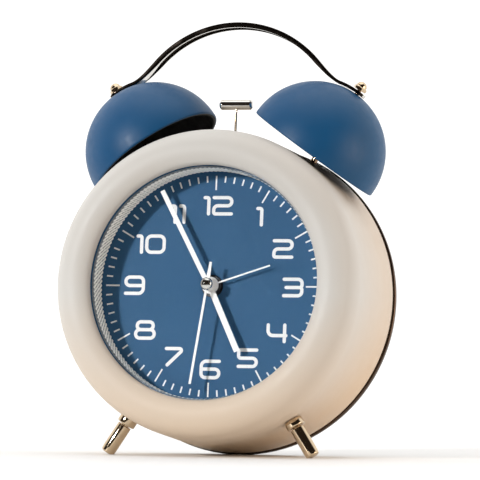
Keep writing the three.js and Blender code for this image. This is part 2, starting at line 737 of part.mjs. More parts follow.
function bell() {
  const outside = new THREE.EllipseCurve(0, BELL_SKIRT, BELL_RADIUS, BELL_RADIUS, Math.PI / 2, 0, true);
  const inner = BELL_RADIUS - BELL_WALL;
  const inside = new THREE.EllipseCurve(0, BELL_SKIRT, inner, inner, 0, Math.PI / 2, false);
  const holeRadius = STUD_RADIUS + SEAT;
  const wall = (curve) => curve.getPoints(7).filter((p) => p.x > holeRadius + 1).map((p) => [p.x, p.y]);
  const crown = (radius) => [holeRadius, BELL_SKIRT + Math.sqrt(radius ** 2 - holeRadius ** 2)];
  return upright(turned([
    crown(BELL_RADIUS),
    ...wall(outside),
    [BELL_RADIUS - BELL_LIP / 3, BELL_SKIRT / 3],
    [BELL_RADIUS - BELL_LIP, 0],
    [BELL_RADIUS - BELL_LIP - BELL_WALL, 0],
    ...wall(inside),
    crown(inner),
    crown(BELL_RADIUS),
  ], MEDIUM));
}

function bellPost() {
  const shoulder = POST_REACH - BELL_WALL - 2 * SEAT;
  const flangeFoot = shoulder - POST_FLANGE_HEIGHT;
  return upright(turned([
    [0, POST_FOOT],
    [POST_RADIUS, POST_FOOT],
    [POST_RADIUS, flangeFoot],
    [POST_FLANGE, flangeFoot],
    [POST_FLANGE, shoulder],
    [STUD_RADIUS, shoulder],
    [STUD_RADIUS, NUT_SEAT + NUT_HEX_HEIGHT],
    [0, NUT_SEAT + NUT_HEX_HEIGHT],
  ], COARSE));
}

function bellNut() {
  const hexRadius = NUT_RADIUS / cos(30);
  const hex = upright(rod(hexRadius, NUT_SEAT, NUT_SEAT + NUT_HEX_HEIGHT, 6));
  const domeFoot = NUT_SEAT + NUT_HEX_HEIGHT - NUT_OVERLAP;
  const round = new THREE.EllipseCurve(0, domeFoot, NUT_RADIUS, NUT_RADIUS, 0, Math.PI / 2);
  const dome = upright(turned([
    [0, domeFoot],
    ...round.getPoints(6).map((p) => [Math.max(p.x, 0), p.y]),
  ], COARSE));
  const thread = upright(rod(STUD_RADIUS + PRESS, NUT_SEAT - 1, NUT_SEAT + NUT_HEX_HEIGHT + SEAT));
  return cut(join(hex, dome), thread);
}

// ---- Carrying strap: an arch, straight flanks, and ends curved over the bells ----

function strapSide() {
  const centre = new THREE.Vector2(
    BELL_X + BELL_SKIRT * sin(BELL_TILT),
    BELL_Z + BELL_SKIRT * cos(BELL_TILT),
  );
  const onBell = (angle) => new THREE.Vector2(
    centre.x + STRAP_RADIUS * sin(angle),
    centre.y + STRAP_RADIUS * cos(angle),
  );
  const onArch = (angle) => new THREE.Vector2(
    STRAP_ARCH_RADIUS * sin(angle),
    STRAP_TOP - STRAP_ARCH_RADIUS * (1 - cos(angle)),
  );
  const leave = BELL_TILT - STRAP_LIFT;
  const flankEnd = onArch(STRAP_FLANK);
  const landing = onBell(leave);
  const sweep = new THREE.CubicBezierCurve(
    flankEnd,
    flankEnd.clone().add(new THREE.Vector2(cos(STRAP_FLANK), -sin(STRAP_FLANK)).multiplyScalar(STRAP_EASE)),
    landing.clone().sub(new THREE.Vector2(cos(leave), -sin(leave)).multiplyScalar(STRAP_EASE)),
    landing,
  );
  const arch = [0, 1, 2, 3, 4, 5].map((step) => onArch(STRAP_FLANK * step / 6));
  const ends = [0, 0.25, 0.5, 0.75, 1].map((t) => onBell(leave + t * (STRAP_LIFT + STRAP_END)));
  return [...arch, ...sweep.getPoints(10).slice(0, -1), ...ends];
}

function strap() {
  const half = strapSide();
  const line = [...half.slice(1).reverse().map((p) => new THREE.Vector2(-p.x, p.y)), ...half];
  const offset = (distance) => line.map((p, i) => {
    const before = line[Math.max(i - 1, 0)];
    const after = line[Math.min(i + 1, line.length - 1)];
    const along = after.clone().sub(before).normalize();
    return new THREE.Vector2(p.x - along.y * distance, p.y + along.x * distance);
  });
  const outline = new THREE.Shape([
    ...offset(STRAP_THICKNESS / 2),
    ...offset(-STRAP_THICKNESS / 2).reverse(),
  ]);
  const band = plate(outline, BELL_Y - STRAP_WIDTH / 2, STRAP_WIDTH);
  const holes = [-1, 1].map((side) => (
    upright(rod(STUD_RADIUS + SEAT, POST_REACH - 2, NUT_TOP)).applyMatrix4(postFrame(side))
  ));
  return cut(band, ...holes);
}

// ---- Hammer and its drive ----

function hammerLever() {
  const half = LEVER_WIDTH / 2;
  const top = LEVER_TOP - PIVOT_Z;
  const outline = new THREE.Shape();
  outline.moveTo(half, 0);
  outline.lineTo(half, top - SOCKET_DEPTH);
  outline.lineTo(SOCKET_HALF, top);
  outline.lineTo(-SOCKET_HALF, top);
  outline.lineTo(-half, top - SOCKET_DEPTH);
  outline.lineTo(-half, 0);
  outline.absarc(0, 0, half, Math.PI, 2 * Math.PI, false);
  hole(outline, 0, 0, PIVOT_RADIUS + RUN);
  const slotHalf = CRANK_PIN_RADIUS + CRANK_PIN_PLAY;
  const low = CRANK_ARM - slotHalf;
  const high = CRANK_ARM + CRANK_THROW + slotHalf;
  outline.holes.push(polygon([[-slotHalf, low], [-slotHalf, high], [slotHalf, high], [slotHalf, low]]));
  const sheet = plate(outline, -LEVER_THICKNESS / 2, LEVER_THICKNESS);
  const socketFoot = top - SOCKET_DEPTH - SOCKET_FLOOR;
  const socket = block([-SOCKET_HALF, -SOCKET_HALF, socketFoot], [SOCKET_HALF, SOCKET_HALF, top]);
  const bore = upright(rod(ROD_RADIUS + PRESS, top - SOCKET_DEPTH, top + 1, SMALL));
  return cut(join(sheet, socket), bore);
}

function hammerRod() {
  return upright(rod(ROD_RADIUS, LEVER_TOP - SOCKET_DEPTH + SEAT - PIVOT_Z, HEAD_Z - PIVOT_Z, SMALL));
}

function hammerHead() {
  const half = HEAD_LENGTH / 2;
  const height = HEAD_Z - PIVOT_Z;
  const bar = turned([
    [0, -half],
    [HEAD_RADIUS - HEAD_CHAMFER, -half],
    [HEAD_RADIUS, -half + HEAD_CHAMFER],
    [HEAD_RADIUS, half - HEAD_CHAMFER],
    [HEAD_RADIUS - HEAD_CHAMFER, half],
    [0, half],
  ], COARSE).rotateZ(Math.PI / 2).translate(0, 0, height);
  const socket = upright(rod(ROD_RADIUS + PRESS, height - HEAD_RADIUS - 1, height + SEAT, SMALL));
  return cut(bar, socket);
}

function crankGear() {
  const wheel = gear(CRANK_TEETH, CRANK_MODULE, 0, CRANK_FACE, meshPhase(CRANK_TEETH, MOTOR_TEETH, 0));
  const pinReach = LEVER_REAR + SLIDE - CRANK_FRONT;
  const pin = rod(CRANK_PIN_RADIUS, CRANK_FACE - ROOTED, pinReach, SMALL);
  const axle = rod(PIVOT_RADIUS, -SLIDE - BRACKET_THICKNESS, ROOTED, COARSE);
  return join(wheel, pin.translate(0, 0, CRANK_THROW), axle);
}

function motorPinion() {
  const pinion = gear(MOTOR_TEETH, CRANK_MODULE, 0, CRANK_FACE);
  const shaftFoot = -SLIDE - BRACKET_THICKNESS - SEAT - MOTOR_SHAFT_DEPTH;
  return join(pinion, rod(MOTOR_SHAFT, shaftFoot, ROOTED, COARSE));
}

function bellMotor() {
  const can = turned([
    [0, -MOTOR_LENGTH],
    [MOTOR_RADIUS - 1, -MOTOR_LENGTH],
    [MOTOR_RADIUS, 1 - MOTOR_LENGTH],
    [MOTOR_RADIUS, 0],
    [0, 0],
  ], MEDIUM);
  return cut(can, rod(MOTOR_SHAFT + RUN, -MOTOR_SHAFT_DEPTH - 1, 1));
}

// The sheet that carries the hammer, crank and motor, with an ear under each bell post.
function hammerBracket() {
  const earReach = POST_FOOT + 1.5;
  const earHalf = 5;
  const ear = new THREE.Vector2(earReach * sin(POST_TILT), earReach * cos(POST_TILT));
  const along = new THREE.Vector2(cos(POST_TILT), -sin(POST_TILT)).multiplyScalar(earHalf);
  const outer = [ear.x + along.x, ear.y + along.y];
  const inner = [ear.x - along.x, ear.y - along.y];
  const foot = [13, PIVOT_Z - 4];
  const mirror = ([x, z]) => [-x, z];
  const outline = polygon([foot, outer, inner, mirror(inner), mirror(outer), mirror(foot)]);
  hole(outline, 0, PIVOT_Z, PIVOT_RADIUS + PRESS);
  hole(outline, 0, CRANK_Z, PIVOT_RADIUS + RUN);
  hole(outline, MOTOR_X, CRANK_Z, MOTOR_SHAFT + 2 * SEAT);
  const sheet = plate(outline, BRACKET_FRONT, BRACKET_THICKNESS, 6);
  const ears = [-1, 1].map((side) => block(
    [-earHalf, BRACKET_FRONT - BELL_Y, earReach - BRACKET_THICKNESS / 2],
    [earHalf, BRACKET_FLANGE, earReach + BRACKET_THICKNESS / 2],
  ).applyMatrix4(postFrame(side)));
  const bores = [-1, 1].map((side) => (
    upright(rod(POST_RADIUS + PRESS, POST_FOOT - 2, NOSE_RADIUS)).applyMatrix4(postFrame(side))
  ));
  return cut(join(sheet, ...ears), ...bores);
}

function hammerPivot() {
  const stop = LEVER_REAR + SLIDE;
  const head = rod(PIVOT_RADIUS + PIVOT_LIP, stop, stop + PIVOT_LIP);
  return join(rod(PIVOT_RADIUS, BRACKET_FRONT, stop + ROOTED), head);
}

// ---- Movement plates and fixed parts ----

function movementFrontPlate() {
  const base = hole(circle(PLATE_RADIUS), 0, 0, ALARM_PIPE + RUN);
  hole(base, SETTING_DISTANCE, 0, SHAFT + RUN);
  hole(base, -SETTING_DISTANCE, 0, SHAFT + RUN);
  const disc = plate(base, PLATE_FRONT, PLATE_THICKNESS, COARSE / 2);
  return join(disc, tube(BUSH_RADIUS, ALARM_PIPE + RUN, BUSH_FRONT, PLATE_FRONT + 0.5));
}

function movementMiddlePlate() {
  const half = CASE_HALF - CASE_WALL - SEAT;
  const outline = polygon([[-half, -half], [half, -half], [half, half], [-half, half]]);
  hole(outline, 0, 0, MINUTE_PIPE + RUN);
  hole(outline, SETTING_DISTANCE, 0, SHAFT + RUN);
  hole(outline, -SETTING_DISTANCE, 0, SHAFT + RUN);
  hole(outline, 0, THIRD_Z, ARBOR + RUN);
  hole(outline, 0, STEP_Z, ARBOR + RUN);
  hole(outline, ROTOR_X, ROTOR_Z, ARBOR + RUN);
  return plate(outline, MIDDLE_Y, MIDDLE_THICKNESS, 6);
}

function movementCover() {
  const front = PLATE_REAR + SEAT;
  const outside = block([-CASE_HALF, front, -CASE_HALF], [CASE_HALF, CASE_REAR, CASE_HALF]);
  const half = CASE_HALF - CASE_WALL;
  const inside = block([-half, front - 1, -half], [half, CASE_INNER_REAR, half]);
  const bearings = [[0, 0], [0, THIRD_Z], [0, STEP_Z], [ROTOR_X, ROTOR_Z]].map(([x, z]) => (
    rod(ARBOR + RUN, CASE_INNER_REAR - 1, CASE_REAR + 1, COARSE).translate(x, 0, z)
  ));
  const shafts = [-1, 1].map((side) => (
    rod(SHAFT + RUN, CASE_INNER_REAR - 1, CASE_REAR + 1, COARSE).translate(side * SETTING_DISTANCE, 0, 0)
  ));
  return cut(outside, inside, ...bearings, ...shafts);
}

function circuitBoard() {
  const rear = CASE_INNER_REAR - 1.2;
  const front = rear - BOARD_THICKNESS;
  const low = THIRD_Z + 3;
  const high = CASE_HALF - CASE_WALL - 1;
  const base = block([-high, front, low], [high, rear, high]);
  const chip = block([-7, front - 1, low + 3], [1, front + 0.2, low + 9]);
  const crystal = rod(1, -4, 4, SMALL).rotateZ(Math.PI / 2).translate(14, front - 0.8, low + 6);
  return join(base, chip, crystal);
}

function stator() {
  const left = ROTOR_X - STATOR_HALF_WIDTH;
  const right = ROTOR_X + STATOR_HALF_WIDTH;
  const top = ROTOR_Z + STATOR_HALF_HEIGHT;
  const under = ROTOR_Z - STATOR_HALF_HEIGHT;
  const outline = polygon([
    [left, top],
    [left, STATOR_BOTTOM],
    [left + STATOR_LEG, STATOR_BOTTOM],
    [left + STATOR_LEG, under],
    [right - STATOR_LEG, under],
    [right - STATOR_LEG, STATOR_BOTTOM],
    [right, STATOR_BOTTOM],
    [right, top],
  ]);
  hole(outline, ROTOR_X, ROTOR_Z, MAGNET_RADIUS + SEAT);
  return plate(outline, STATOR_FRONT, STATOR_THICKNESS, MEDIUM / 4);
}

function coil() {
  const half = STATOR_HALF_WIDTH - STATOR_LEG - SEAT;
  const flange = 1;
  const waist = COIL_RADIUS - 0.8;
  return turned([
    [0, -half],
    [COIL_RADIUS, -half],
    [COIL_RADIUS, -half + flange],
    [waist, -half + flange],
    [waist, half - flange],
    [COIL_RADIUS, half - flange],
    [COIL_RADIUS, half],
    [0, half],
  ], COARSE).rotateZ(Math.PI / 2);
}

// ---- Wheels ----

function wheelOnPipe(teeth, module, layer, phase, bore, pipe, pipeFront) {
  const wheel = gear(teeth, module, layer, WHEEL_FACE, phase, bore);
  return join(wheel, tube(pipe, bore, pipeFront, layer + 0.2));
}

function alarmWheel() {
  const module = moduleFor(SETTING_DISTANCE, ALARM_TEETH, ALARM_PINION_TEETH);
  return wheelOnPipe(ALARM_TEETH, module, ALARM_LAYER, 0, ALARM_BORE, ALARM_PIPE, HANDS.alarm.front - SEAT);
}

function alarmPinion() {
  const module = moduleFor(SETTING_DISTANCE, ALARM_TEETH, ALARM_PINION_TEETH);
  const phase = meshPhase(ALARM_PINION_TEETH, ALARM_TEETH, 0);
  return gear(ALARM_PINION_TEETH, module, ALARM_LAYER, WHEEL_FACE, phase, SHAFT + PRESS);
}

function hourWheel() {
  const module = moduleFor(SETTING_DISTANCE, HOUR_TEETH, MOTION_PINION_TEETH);
  return wheelOnPipe(HOUR_TEETH, module, HOUR_LAYER, 0, HOUR_BORE, HOUR_PIPE, HANDS.hour.front - SEAT);
}

function motionWheel() {
  const wheelModule = moduleFor(SETTING_DISTANCE, MINUTE_TEETH, MOTION_TEETH);
  const pinionModule = moduleFor(SETTING_DISTANCE, HOUR_TEETH, MOTION_PINION_TEETH);
  const bore = SHAFT + PRESS;
  const phase = meshPhase(MOTION_TEETH, MINUTE_TEETH, 180);
  const wheel = gear(MOTION_TEETH, wheelModule, MOTION_LAYER, WHEEL_FACE, phase, bore);
  const pinion = gear(
    MOTION_PINION_TEETH,
    pinionModule,
    HOUR_LAYER,
    MOTION_LAYER - HOUR_LAYER + 0.2,
    meshPhase(MOTION_PINION_TEETH, HOUR_TEETH, 180),
    bore,
  );
  return join(wheel, pinion);
}

function minutePinion() {
  const module = moduleFor(SETTING_DISTANCE, MINUTE_TEETH, MOTION_TEETH);
  const pinion = gear(MINUTE_TEETH, module, MOTION_LAYER, WHEEL_FACE, 0, MINUTE_BORE);
  return join(pinion, tube(MINUTE_PIPE, MINUTE_BORE, HANDS.minute.front - SEAT, CENTRE_LAYER + WHEEL_FACE));
}

function centreWheel() {
  const module = moduleFor(TRAIN_DISTANCE, CENTRE_TEETH, THIRD_PINION_TEETH);
  return gear(CENTRE_TEETH, module, CENTRE_LAYER, WHEEL_FACE, 0, MINUTE_PIPE + RUN);
}

function trainWheel(wheel, pinion, front) {
  return join(wheel, pinion, rod(ARBOR, front, CASE_REAR, SMALL));
}

function thirdWheel() {
  const wheelModule = moduleFor(TRAIN_DISTANCE, SECOND_PINION_TEETH, THIRD_TEETH);
  const pinionModule = moduleFor(TRAIN_DISTANCE, CENTRE_TEETH, THIRD_PINION_TEETH);
  const phase = meshPhase(THIRD_TEETH, SECOND_PINION_TEETH, 270);
  return trainWheel(
    gear(THIRD_TEETH, wheelModule, THIRD_LAYER, WHEEL_FACE, phase),
    gear(
      THIRD_PINION_TEETH,
      pinionModule,
      CENTRE_LAYER,
      THIRD_LAYER - CENTRE_LAYER + 0.2,
      meshPhase(THIRD_PINION_TEETH, CENTRE_TEETH, 270),
    ),
    MIDDLE_Y,
  );
}

function secondWheel() {
  const wheelModule = moduleFor(STEP_DISTANCE, SECOND_TEETH, STEP_PINION_TEETH);
  const pinionModule = moduleFor(TRAIN_DISTANCE, SECOND_PINION_TEETH, THIRD_TEETH);
  return trainWheel(
    gear(SECOND_TEETH, wheelModule, SECOND_LAYER, WHEEL_FACE, 0),
    gear(SECOND_PINION_TEETH, pinionModule, THIRD_LAYER, SECOND_LAYER - THIRD_LAYER + 0.2),
    HANDS.second.front - SEAT / 2,
  );
}

function stepWheel() {
  const wheelModule = moduleFor(ROTOR_DISTANCE, STEP_TEETH, ROTOR_PINION_TEETH);
  const pinionModule = moduleFor(STEP_DISTANCE, SECOND_TEETH, STEP_PINION_TEETH);
  return trainWheel(
    gear(STEP_TEETH, wheelModule, STEP_LAYER, WHEEL_FACE, 0),
    gear(
      STEP_PINION_TEETH,
      pinionModule,
      SECOND_LAYER,
      STEP_LAYER - SECOND_LAYER + 0.2,
      meshPhase(STEP_PINION_TEETH, SECOND_TEETH, 90),
    ),
    MIDDLE_Y,
  );
}

function rotor() {
  const module = moduleFor(ROTOR_DISTANCE, STEP_TEETH, ROTOR_PINION_TEETH);
  return trainWheel(
    rod(MAGNET_RADIUS, MAGNET_LAYER, MAGNET_LAYER + MAGNET_DEPTH),
    gear(
      ROTOR_PINION_TEETH,
      module,
      STEP_LAYER,
      MAGNET_LAYER - STEP_LAYER + 0.2,
      meshPhase(ROTOR_PINION_TEETH, STEP_TEETH, ROTOR_BEARING + 180),
    ),
    MIDDLE_Y,
  );
}

// ---- Hands ----

function hand({ length, width, tail, hub, front }, bore) {
  const half = width / 2;
  const meet = Math.asin(half / hub);
  const outline = new THREE.Shape();
  outline.moveTo(half, hub * Math.cos(meet));
  outline.lineTo(half, length - half);
  outline.lineTo(half / 2, length);
  outline.lineTo(-half / 2, length);
  outline.lineTo(-half, length - half);
  outline.lineTo(-half, hub * Math.cos(meet));
  if (tail > 0) {
    outline.absarc(0, 0, hub, Math.PI / 2 + meet, 1.5 * Math.PI - meet, false);
    outline.lineTo(-half, -tail);
    outline.lineTo(half, -tail);
    outline.absarc(0, 0, hub, 1.5 * Math.PI + meet, 2.5 * Math.PI - meet, false);
  } else {
    outline.absarc(0, 0, hub, Math.PI / 2 + meet, 2.5 * Math.PI - meet, false);
  }
  return plate(hole(outline, 0, 0, bore), front, HAND_THICKNESS, 10);
}

function turnedHand(which, bore) {
  return hand(HANDS[which], bore).rotateY(rad(HANDS[which].angle));
}

function handCap() {
  const rear = HANDS.second.front - SEAT;
  const front = rear - CAP_HEIGHT;
  const dome = new THREE.EllipseCurve(0, rear - 0.5, CAP_RADIUS, rear - 0.5 - front, 0, -Math.PI / 2, true);
  return turned([
    [0, rear],
    [CAP_RADIUS - 0.3, rear],
    ...dome.getPoints(6).map((p) => [Math.max(p.x, 0), p.y]),
  ], COARSE);
}

// ---- Knobs and switch ----

function settingKnob() {
  const front = BACK_REAR + SLIDE;
  const rear = front + KNOB_DEPTH;
  const points = [];
  for (let rib = 0; rib < 2 * KNOB_RIBS; rib += 1) {
    const radius = KNOB_RADIUS - (rib % 2) * KNOB_RIB_DEPTH;
    const angle = Math.PI * rib / KNOB_RIBS;
    points.push([radius * Math.cos(angle), radius * Math.sin(angle)]);
  }
  const grip = plate(polygon(points), front + 1.5, KNOB_DEPTH - 1.5);
  const collar = rod(KNOB_RADIUS - 2, front, front + 2, COARSE);
  const face = rod(KNOB_RADIUS - 2.6, rear - 0.5, rear + 0.6, MEDIUM);
  const shaft = rod(SHAFT, PLATE_FRONT + SEAT, front + 1, COARSE);
  return join(grip, collar, face, shaft);
}

function alarmSwitch() {
  const half = SWITCH_WIDTH / 2;
  const button = block(
    [-half, BACK_REAR + SLIDE, -SWITCH_HEIGHT / 2],
    [half, BACK_REAR + SLIDE + 2.4, SWITCH_HEIGHT / 2],
  );
  const stem = block(
    [-SWITCH_STEM / 2, BACK_FRONT - SLIDE - 1, -SWITCH_STEM / 2],
    [SWITCH_STEM / 2, BACK_REAR + SLIDE + 1, SWITCH_STEM / 2],
  );
  const slider = block(
    [-half, BACK_FRONT - SLIDE - 1.6, -SWITCH_HEIGHT / 2],
    [half, BACK_FRONT - SLIDE, SWITCH_HEIGHT / 2],
  );
  return join(button, stem, slider);
}

// ---- The clock ----

function addCase() {
  piece('front_shell', frontShell(), 'pearl');
  piece('rear_ring', rearRing(), 'pearl');
  piece('back_cover', backCover(), 'black');
  piece('lens', lens(), 'glass');
  piece('chapter_ring', chapterRing(), 'chrome');
  piece('dial_plate', dialPlate(), 'blueDial');
  screwPlaces().forEach(([x, z], i) => piece(`back_screw_${i + 1}`, backScrew(), 'steel', [x, 0, z]));
  sides((name, side) => {
    piece(`foot_${name}`, foot(side), 'chrome');
    piece(`foot_collar_${name}`, footCollar(side), 'chrome');
  });
}

function addBells() {
  sides((name, side) => {
    piece(`bell_${name}`, bell(), 'blueBell', [0, 0, 0], grouped(bellFrame(side)));
    const post = grouped(postFrame(side));
    piece(`bell_post_${name}`, bellPost(), 'chrome', [0, 0, 0], post);
    piece(`bell_nut_${name}`, bellNut(), 'chrome', [0, 0, 0], post);
  });
  piece('carry_handle', strap(), 'chrome');
}

function addHammer() {
  piece('hammer_bracket', hammerBracket(), 'steel');
  piece('hammer_pivot', hammerPivot(), 'steel', [0, 0, PIVOT_Z]);
  piece('hammer_lever', hammerLever(), 'steel', [0, HAMMER_Y, PIVOT_Z]);
  piece('hammer_rod', hammerRod(), 'chrome', [0, HAMMER_Y, PIVOT_Z]);
  piece('hammer_head', hammerHead(), 'chrome', [0, HAMMER_Y, PIVOT_Z]);
  piece('crank_gear', crankGear(), 'nylon', [0, CRANK_FRONT, CRANK_Z]);
  piece('motor_pinion', motorPinion(), 'brass', [MOTOR_X, CRANK_FRONT, CRANK_Z]);
  piece('bell_motor', bellMotor(), 'steel', [MOTOR_X, MOTOR_REAR, CRANK_Z]);
}

function addMovement() {
  piece('movement_front_plate', movementFrontPlate(), 'black');
  piece('movement_middle_plate', movementMiddlePlate(), 'nylon');
  piece('movement_cover', movementCover(), 'black');
  piece('circuit_board', circuitBoard(), 'board');
  piece('stator', stator(), 'steel');
  piece('coil', coil(), 'copper', [ROTOR_X, COIL_Y, COIL_Z]);
  piece('alarm_wheel', alarmWheel(), 'nylon');
  piece('hour_wheel', hourWheel(), 'nylon');
  piece('minute_pinion', minutePinion(), 'brass');
  piece('motion_wheel', motionWheel(), 'nylon', [SETTING_DISTANCE, 0, 0]);
  piece('alarm_pinion', alarmPinion(), 'nylon', [-SETTING_DISTANCE, 0, 0]);
  piece('centre_wheel', centreWheel(), 'brass');
  piece('third_wheel', thirdWheel(), 'nylon', [0, 0, THIRD_Z]);
  piece('second_wheel', secondWheel(), 'nylon');
  piece('step_wheel', stepWheel(), 'nylon', [0, 0, STEP_Z]);
  piece('rotor', rotor(), 'nylon', [ROTOR_X, 0, ROTOR_Z]);
}

function addHands() {
  piece('alarm_hand', turnedHand('alarm', ALARM_PIPE + PRESS), 'white');
  piece('hour_hand', turnedHand('hour', HOUR_PIPE + PRESS), 'white');
  piece('minute_hand', turnedHand('minute', MINUTE_PIPE + PRESS), 'white');
  piece('second_hand', turnedHand('second', ARBOR + PRESS), 'white');
  piece('hand_cap', handCap(), 'chrome');
}

function addBack() {
  piece('time_knob', settingKnob(), 'black', [SETTING_DISTANCE, 0, 0]);
  piece('alarm_knob', settingKnob(), 'black', [-SETTING_DISTANCE, 0, 0]);
  piece('alarm_switch', alarmSwitch(), 'nylon', [0, 0, SWITCH_Z]);
  piece('battery_door', batteryDoor(), 'black');
  piece('contact_strip', contactStrip(), 'steel');
  const springX = -TUB_HALF + SEAT;
  const cellX = springX + SPRING_LENGTH + SEAT + CELL_LENGTH / 2;
  for (const [name, z] of [['upper', UPPER_CELL_Z], ['lower', LOWER_CELL_Z]]) {
    piece(`battery_${name}`, cell(), 'cell', [cellX, CELL_Y, z]);
    piece(`battery_spring_${name}`, batterySpring(), 'steel', [springX, CELL_Y, z]);
  }
}

addCase();
addBells();
addHammer();
addMovement();
addHands();
addBack();

const alarmClock = new THREE.Group();
alarmClock.add(clock);
alarmClock.updateMatrixWorld(true);
const box = new THREE.Box3().setFromObject(alarmClock, true);
alarmClock.position.set(-(box.min.x + box.max.x) / 2, -(box.min.y + box.max.y) / 2, -box.min.z);

export default alarmClock;
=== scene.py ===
import json
import math

import bmesh
import bpy
from mathutils import Matrix, Vector


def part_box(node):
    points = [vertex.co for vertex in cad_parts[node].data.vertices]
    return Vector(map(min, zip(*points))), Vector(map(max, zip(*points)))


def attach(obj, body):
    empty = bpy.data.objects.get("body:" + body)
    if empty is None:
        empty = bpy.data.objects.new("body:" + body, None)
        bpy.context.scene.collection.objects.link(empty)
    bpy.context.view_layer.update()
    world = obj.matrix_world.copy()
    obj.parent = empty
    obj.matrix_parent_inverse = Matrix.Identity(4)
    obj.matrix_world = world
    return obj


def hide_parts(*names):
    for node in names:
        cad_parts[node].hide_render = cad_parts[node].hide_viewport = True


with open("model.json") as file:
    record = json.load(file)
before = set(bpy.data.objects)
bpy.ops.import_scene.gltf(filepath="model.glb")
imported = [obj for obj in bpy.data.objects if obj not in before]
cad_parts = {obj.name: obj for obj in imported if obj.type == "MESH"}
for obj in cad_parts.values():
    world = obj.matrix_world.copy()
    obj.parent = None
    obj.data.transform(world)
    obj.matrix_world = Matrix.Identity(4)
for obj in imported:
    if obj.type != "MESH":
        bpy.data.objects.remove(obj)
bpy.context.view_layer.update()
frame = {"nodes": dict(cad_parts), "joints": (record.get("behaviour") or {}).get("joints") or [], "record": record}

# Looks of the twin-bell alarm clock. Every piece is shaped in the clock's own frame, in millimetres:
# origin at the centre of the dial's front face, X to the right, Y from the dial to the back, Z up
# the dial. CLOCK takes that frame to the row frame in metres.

# ---- Shapes that the frame doesn't carry, in millimetres and degrees ----

MM = 0.001
NOSE_RADIUS = 60            # widest circle of the rounded front, and its depth
NOSE_DEPTH = -3.9
LIP_RADIUS = 45.2           # opening over the dial
LIP_FRONT = -13.2
LIP_THICKNESS = 0.7
SLEEVE_OUTER = 47.8         # sleeve behind the lip
SHELL_WALL = 1.8
BELL_TILT = 35.26
BELL_CENTRE = (31.75, 23.4, 54.65)
BELL_RADIUS = 27.59
BELL_SKIRT = 1.25
BELL_LIP = 0.82
BELL_WALL = 1.1
HAMMER_SLOT = 3.6           # half the length of the slot that the hammer's rod swings in
POST_FOOT = 53
POST_RADIUS = 1.3
POST_FLANGE = 2.3
STUD_RADIUS = 0.9
NUT_RADIUS = 2.4
NUT_HEX_HEIGHT = 1.5
STRAP_TOP = 106
STRAP_ARCH_RADIUS = 43.7
STRAP_FLANK = 46
STRAP_END = 7
STRAP_LIFT = 15
STRAP_WIDTH = 6.8
STRAP_THICKNESS = 1.3
STRAP_EDGE = 0.3
STRAP_HEM = 0.75            # how far its rolled edges hang below it, and how wide they are
STRAP_HEM_WIDTH = 1.1
STRAP_HEM_START = 14        # along the strap from its end, where the rolling begins and how fast
STRAP_HEM_RUN = 10
SEAT = 0.3                  # gap between faces that rest on each other
FOOT_ANGLE = 32.7
FOOT_DEPTH = 5.5
FOOT_REACH = 76.4
FOOT_RADIUS = 2.8
FOOT_STUD = 1.5
COLLAR_RADIUS = 3.65
COLLAR_HEIGHT = 3.3
PAINTED_REFLECTION_DEPTHS = (-20, 15)      # depths in the row frame over which a warm reflection is painted into the lacquer towards the back
PAINTED_REFLECTION_HEIGHT = 62             # height up to which a warm reflection from below is painted into the shell's lacquer
KNURL_PITCH = 1.7           # of the ribs on the chapter ring
KNURL_DEPTH = 0.5
KNURL_LEAD = 3.4            # ribs that each one slants across, and rings of points along it
KNURL_ROWS = 30
DIAL_HOLE = 4.3             # round the hands' arbors
PRINT_HEIGHT = 0.06         # how proud the printed dial marks stand
PRINT_ROOT = 0.02           # and how far they reach into it
DIVISIONS = 72              # ticks round the dial, one in six of them long
TICK_OUTER = 42.7
TICK_INNER = 40.2
HOUR_TICK_INNER = 37.2
TICK_WIDTH = 0.6
NUMERAL_HEIGHT = 7.6
NUMERAL_STROKE = 1.3
ROUND = 160                 # facets round a turned piece
KNOB_RIBS = 36              # round each setting knob, and how deep they are cut
KNOB_RIB_DEPTH = 0.45
KNOB_BAND = 1.2             # how far in from the knob's edge the ribs run out
CELL_TIP_RADIUS = 2.7       # pip at each cell's positive end
CELL_TIP_LENGTH = 1
GRIP_RIBS = 5               # ridges on the battery door's thumb patch
GRIP_PITCH = 2.2
GRIP_HALF = 9

# Hands: body, then length, width, tail, radius of the hub, radius of its bore and the tip's corners
HANDS = {
    "alarm_hand": ("alarm_arbor", 24.7, 0.6, 0, 3.3, 2.4, 0.15),
    "hour_hand": ("hour_arbor", 28.1, 2.3, 0, 3.0, 1.9, 0.15),
    "minute_hand": ("minute_arbor", 41.2, 1.8, 0, 2.5, 1.3, 0.15),
    "second_hand": ("second_arbor", 38.8, 0.9, 8.6, 2.1, 0.66, 0.1),
}

# Numerals: the centre of each on the dial
NUMERALS = {
    "12": (1.1, 31.1), "1": (17.8, 26.9), "2": (27.6, 14.5), "3": (32.1, -0.3),
    "4": (26.5, -17.9), "5": (15.2, -27.6), "6": (0.5, -32.1), "7": (-13.75, -27.4),
    "8": (-26.2, -17.2), "9": (-31.2, 0.1), "10": (-25.3, 16.1), "11": (-15, 27.8),
}

FLOOR_FADE = (0.12, 0.55)   # metres from the clock over which the floor melts into the room

ROOM_WHITE = (1.0, 0.995, 0.985)
ROOM_DARK = (0.022, 0.017, 0.014)
ROOM_STRENGTH = 1.2
ROOM_DARK_SIDE = (0.15, -1, 0)       # the way to the room's dark side
ROOM_DARK_FACING = (-0.15, 0.25)     # how far it spreads round and up, as cosine and sine
ROOM_DARK_HEIGHT = (0.95, 0.80)

# Lamps: azimuth and elevation, then distance and width in metres, watts and colour
LAMPS = {
    "key": ((-32, 17), 1.6, 0.10, 18, (1, 1, 1)),
    "overhead": ((0, 86), 2.0, 2.4, 10, (1, 1, 1)),
    "warm_side": ((80, 3), 1.2, 0.8, 6.5, (1.0, 0.84, 0.70)),
}

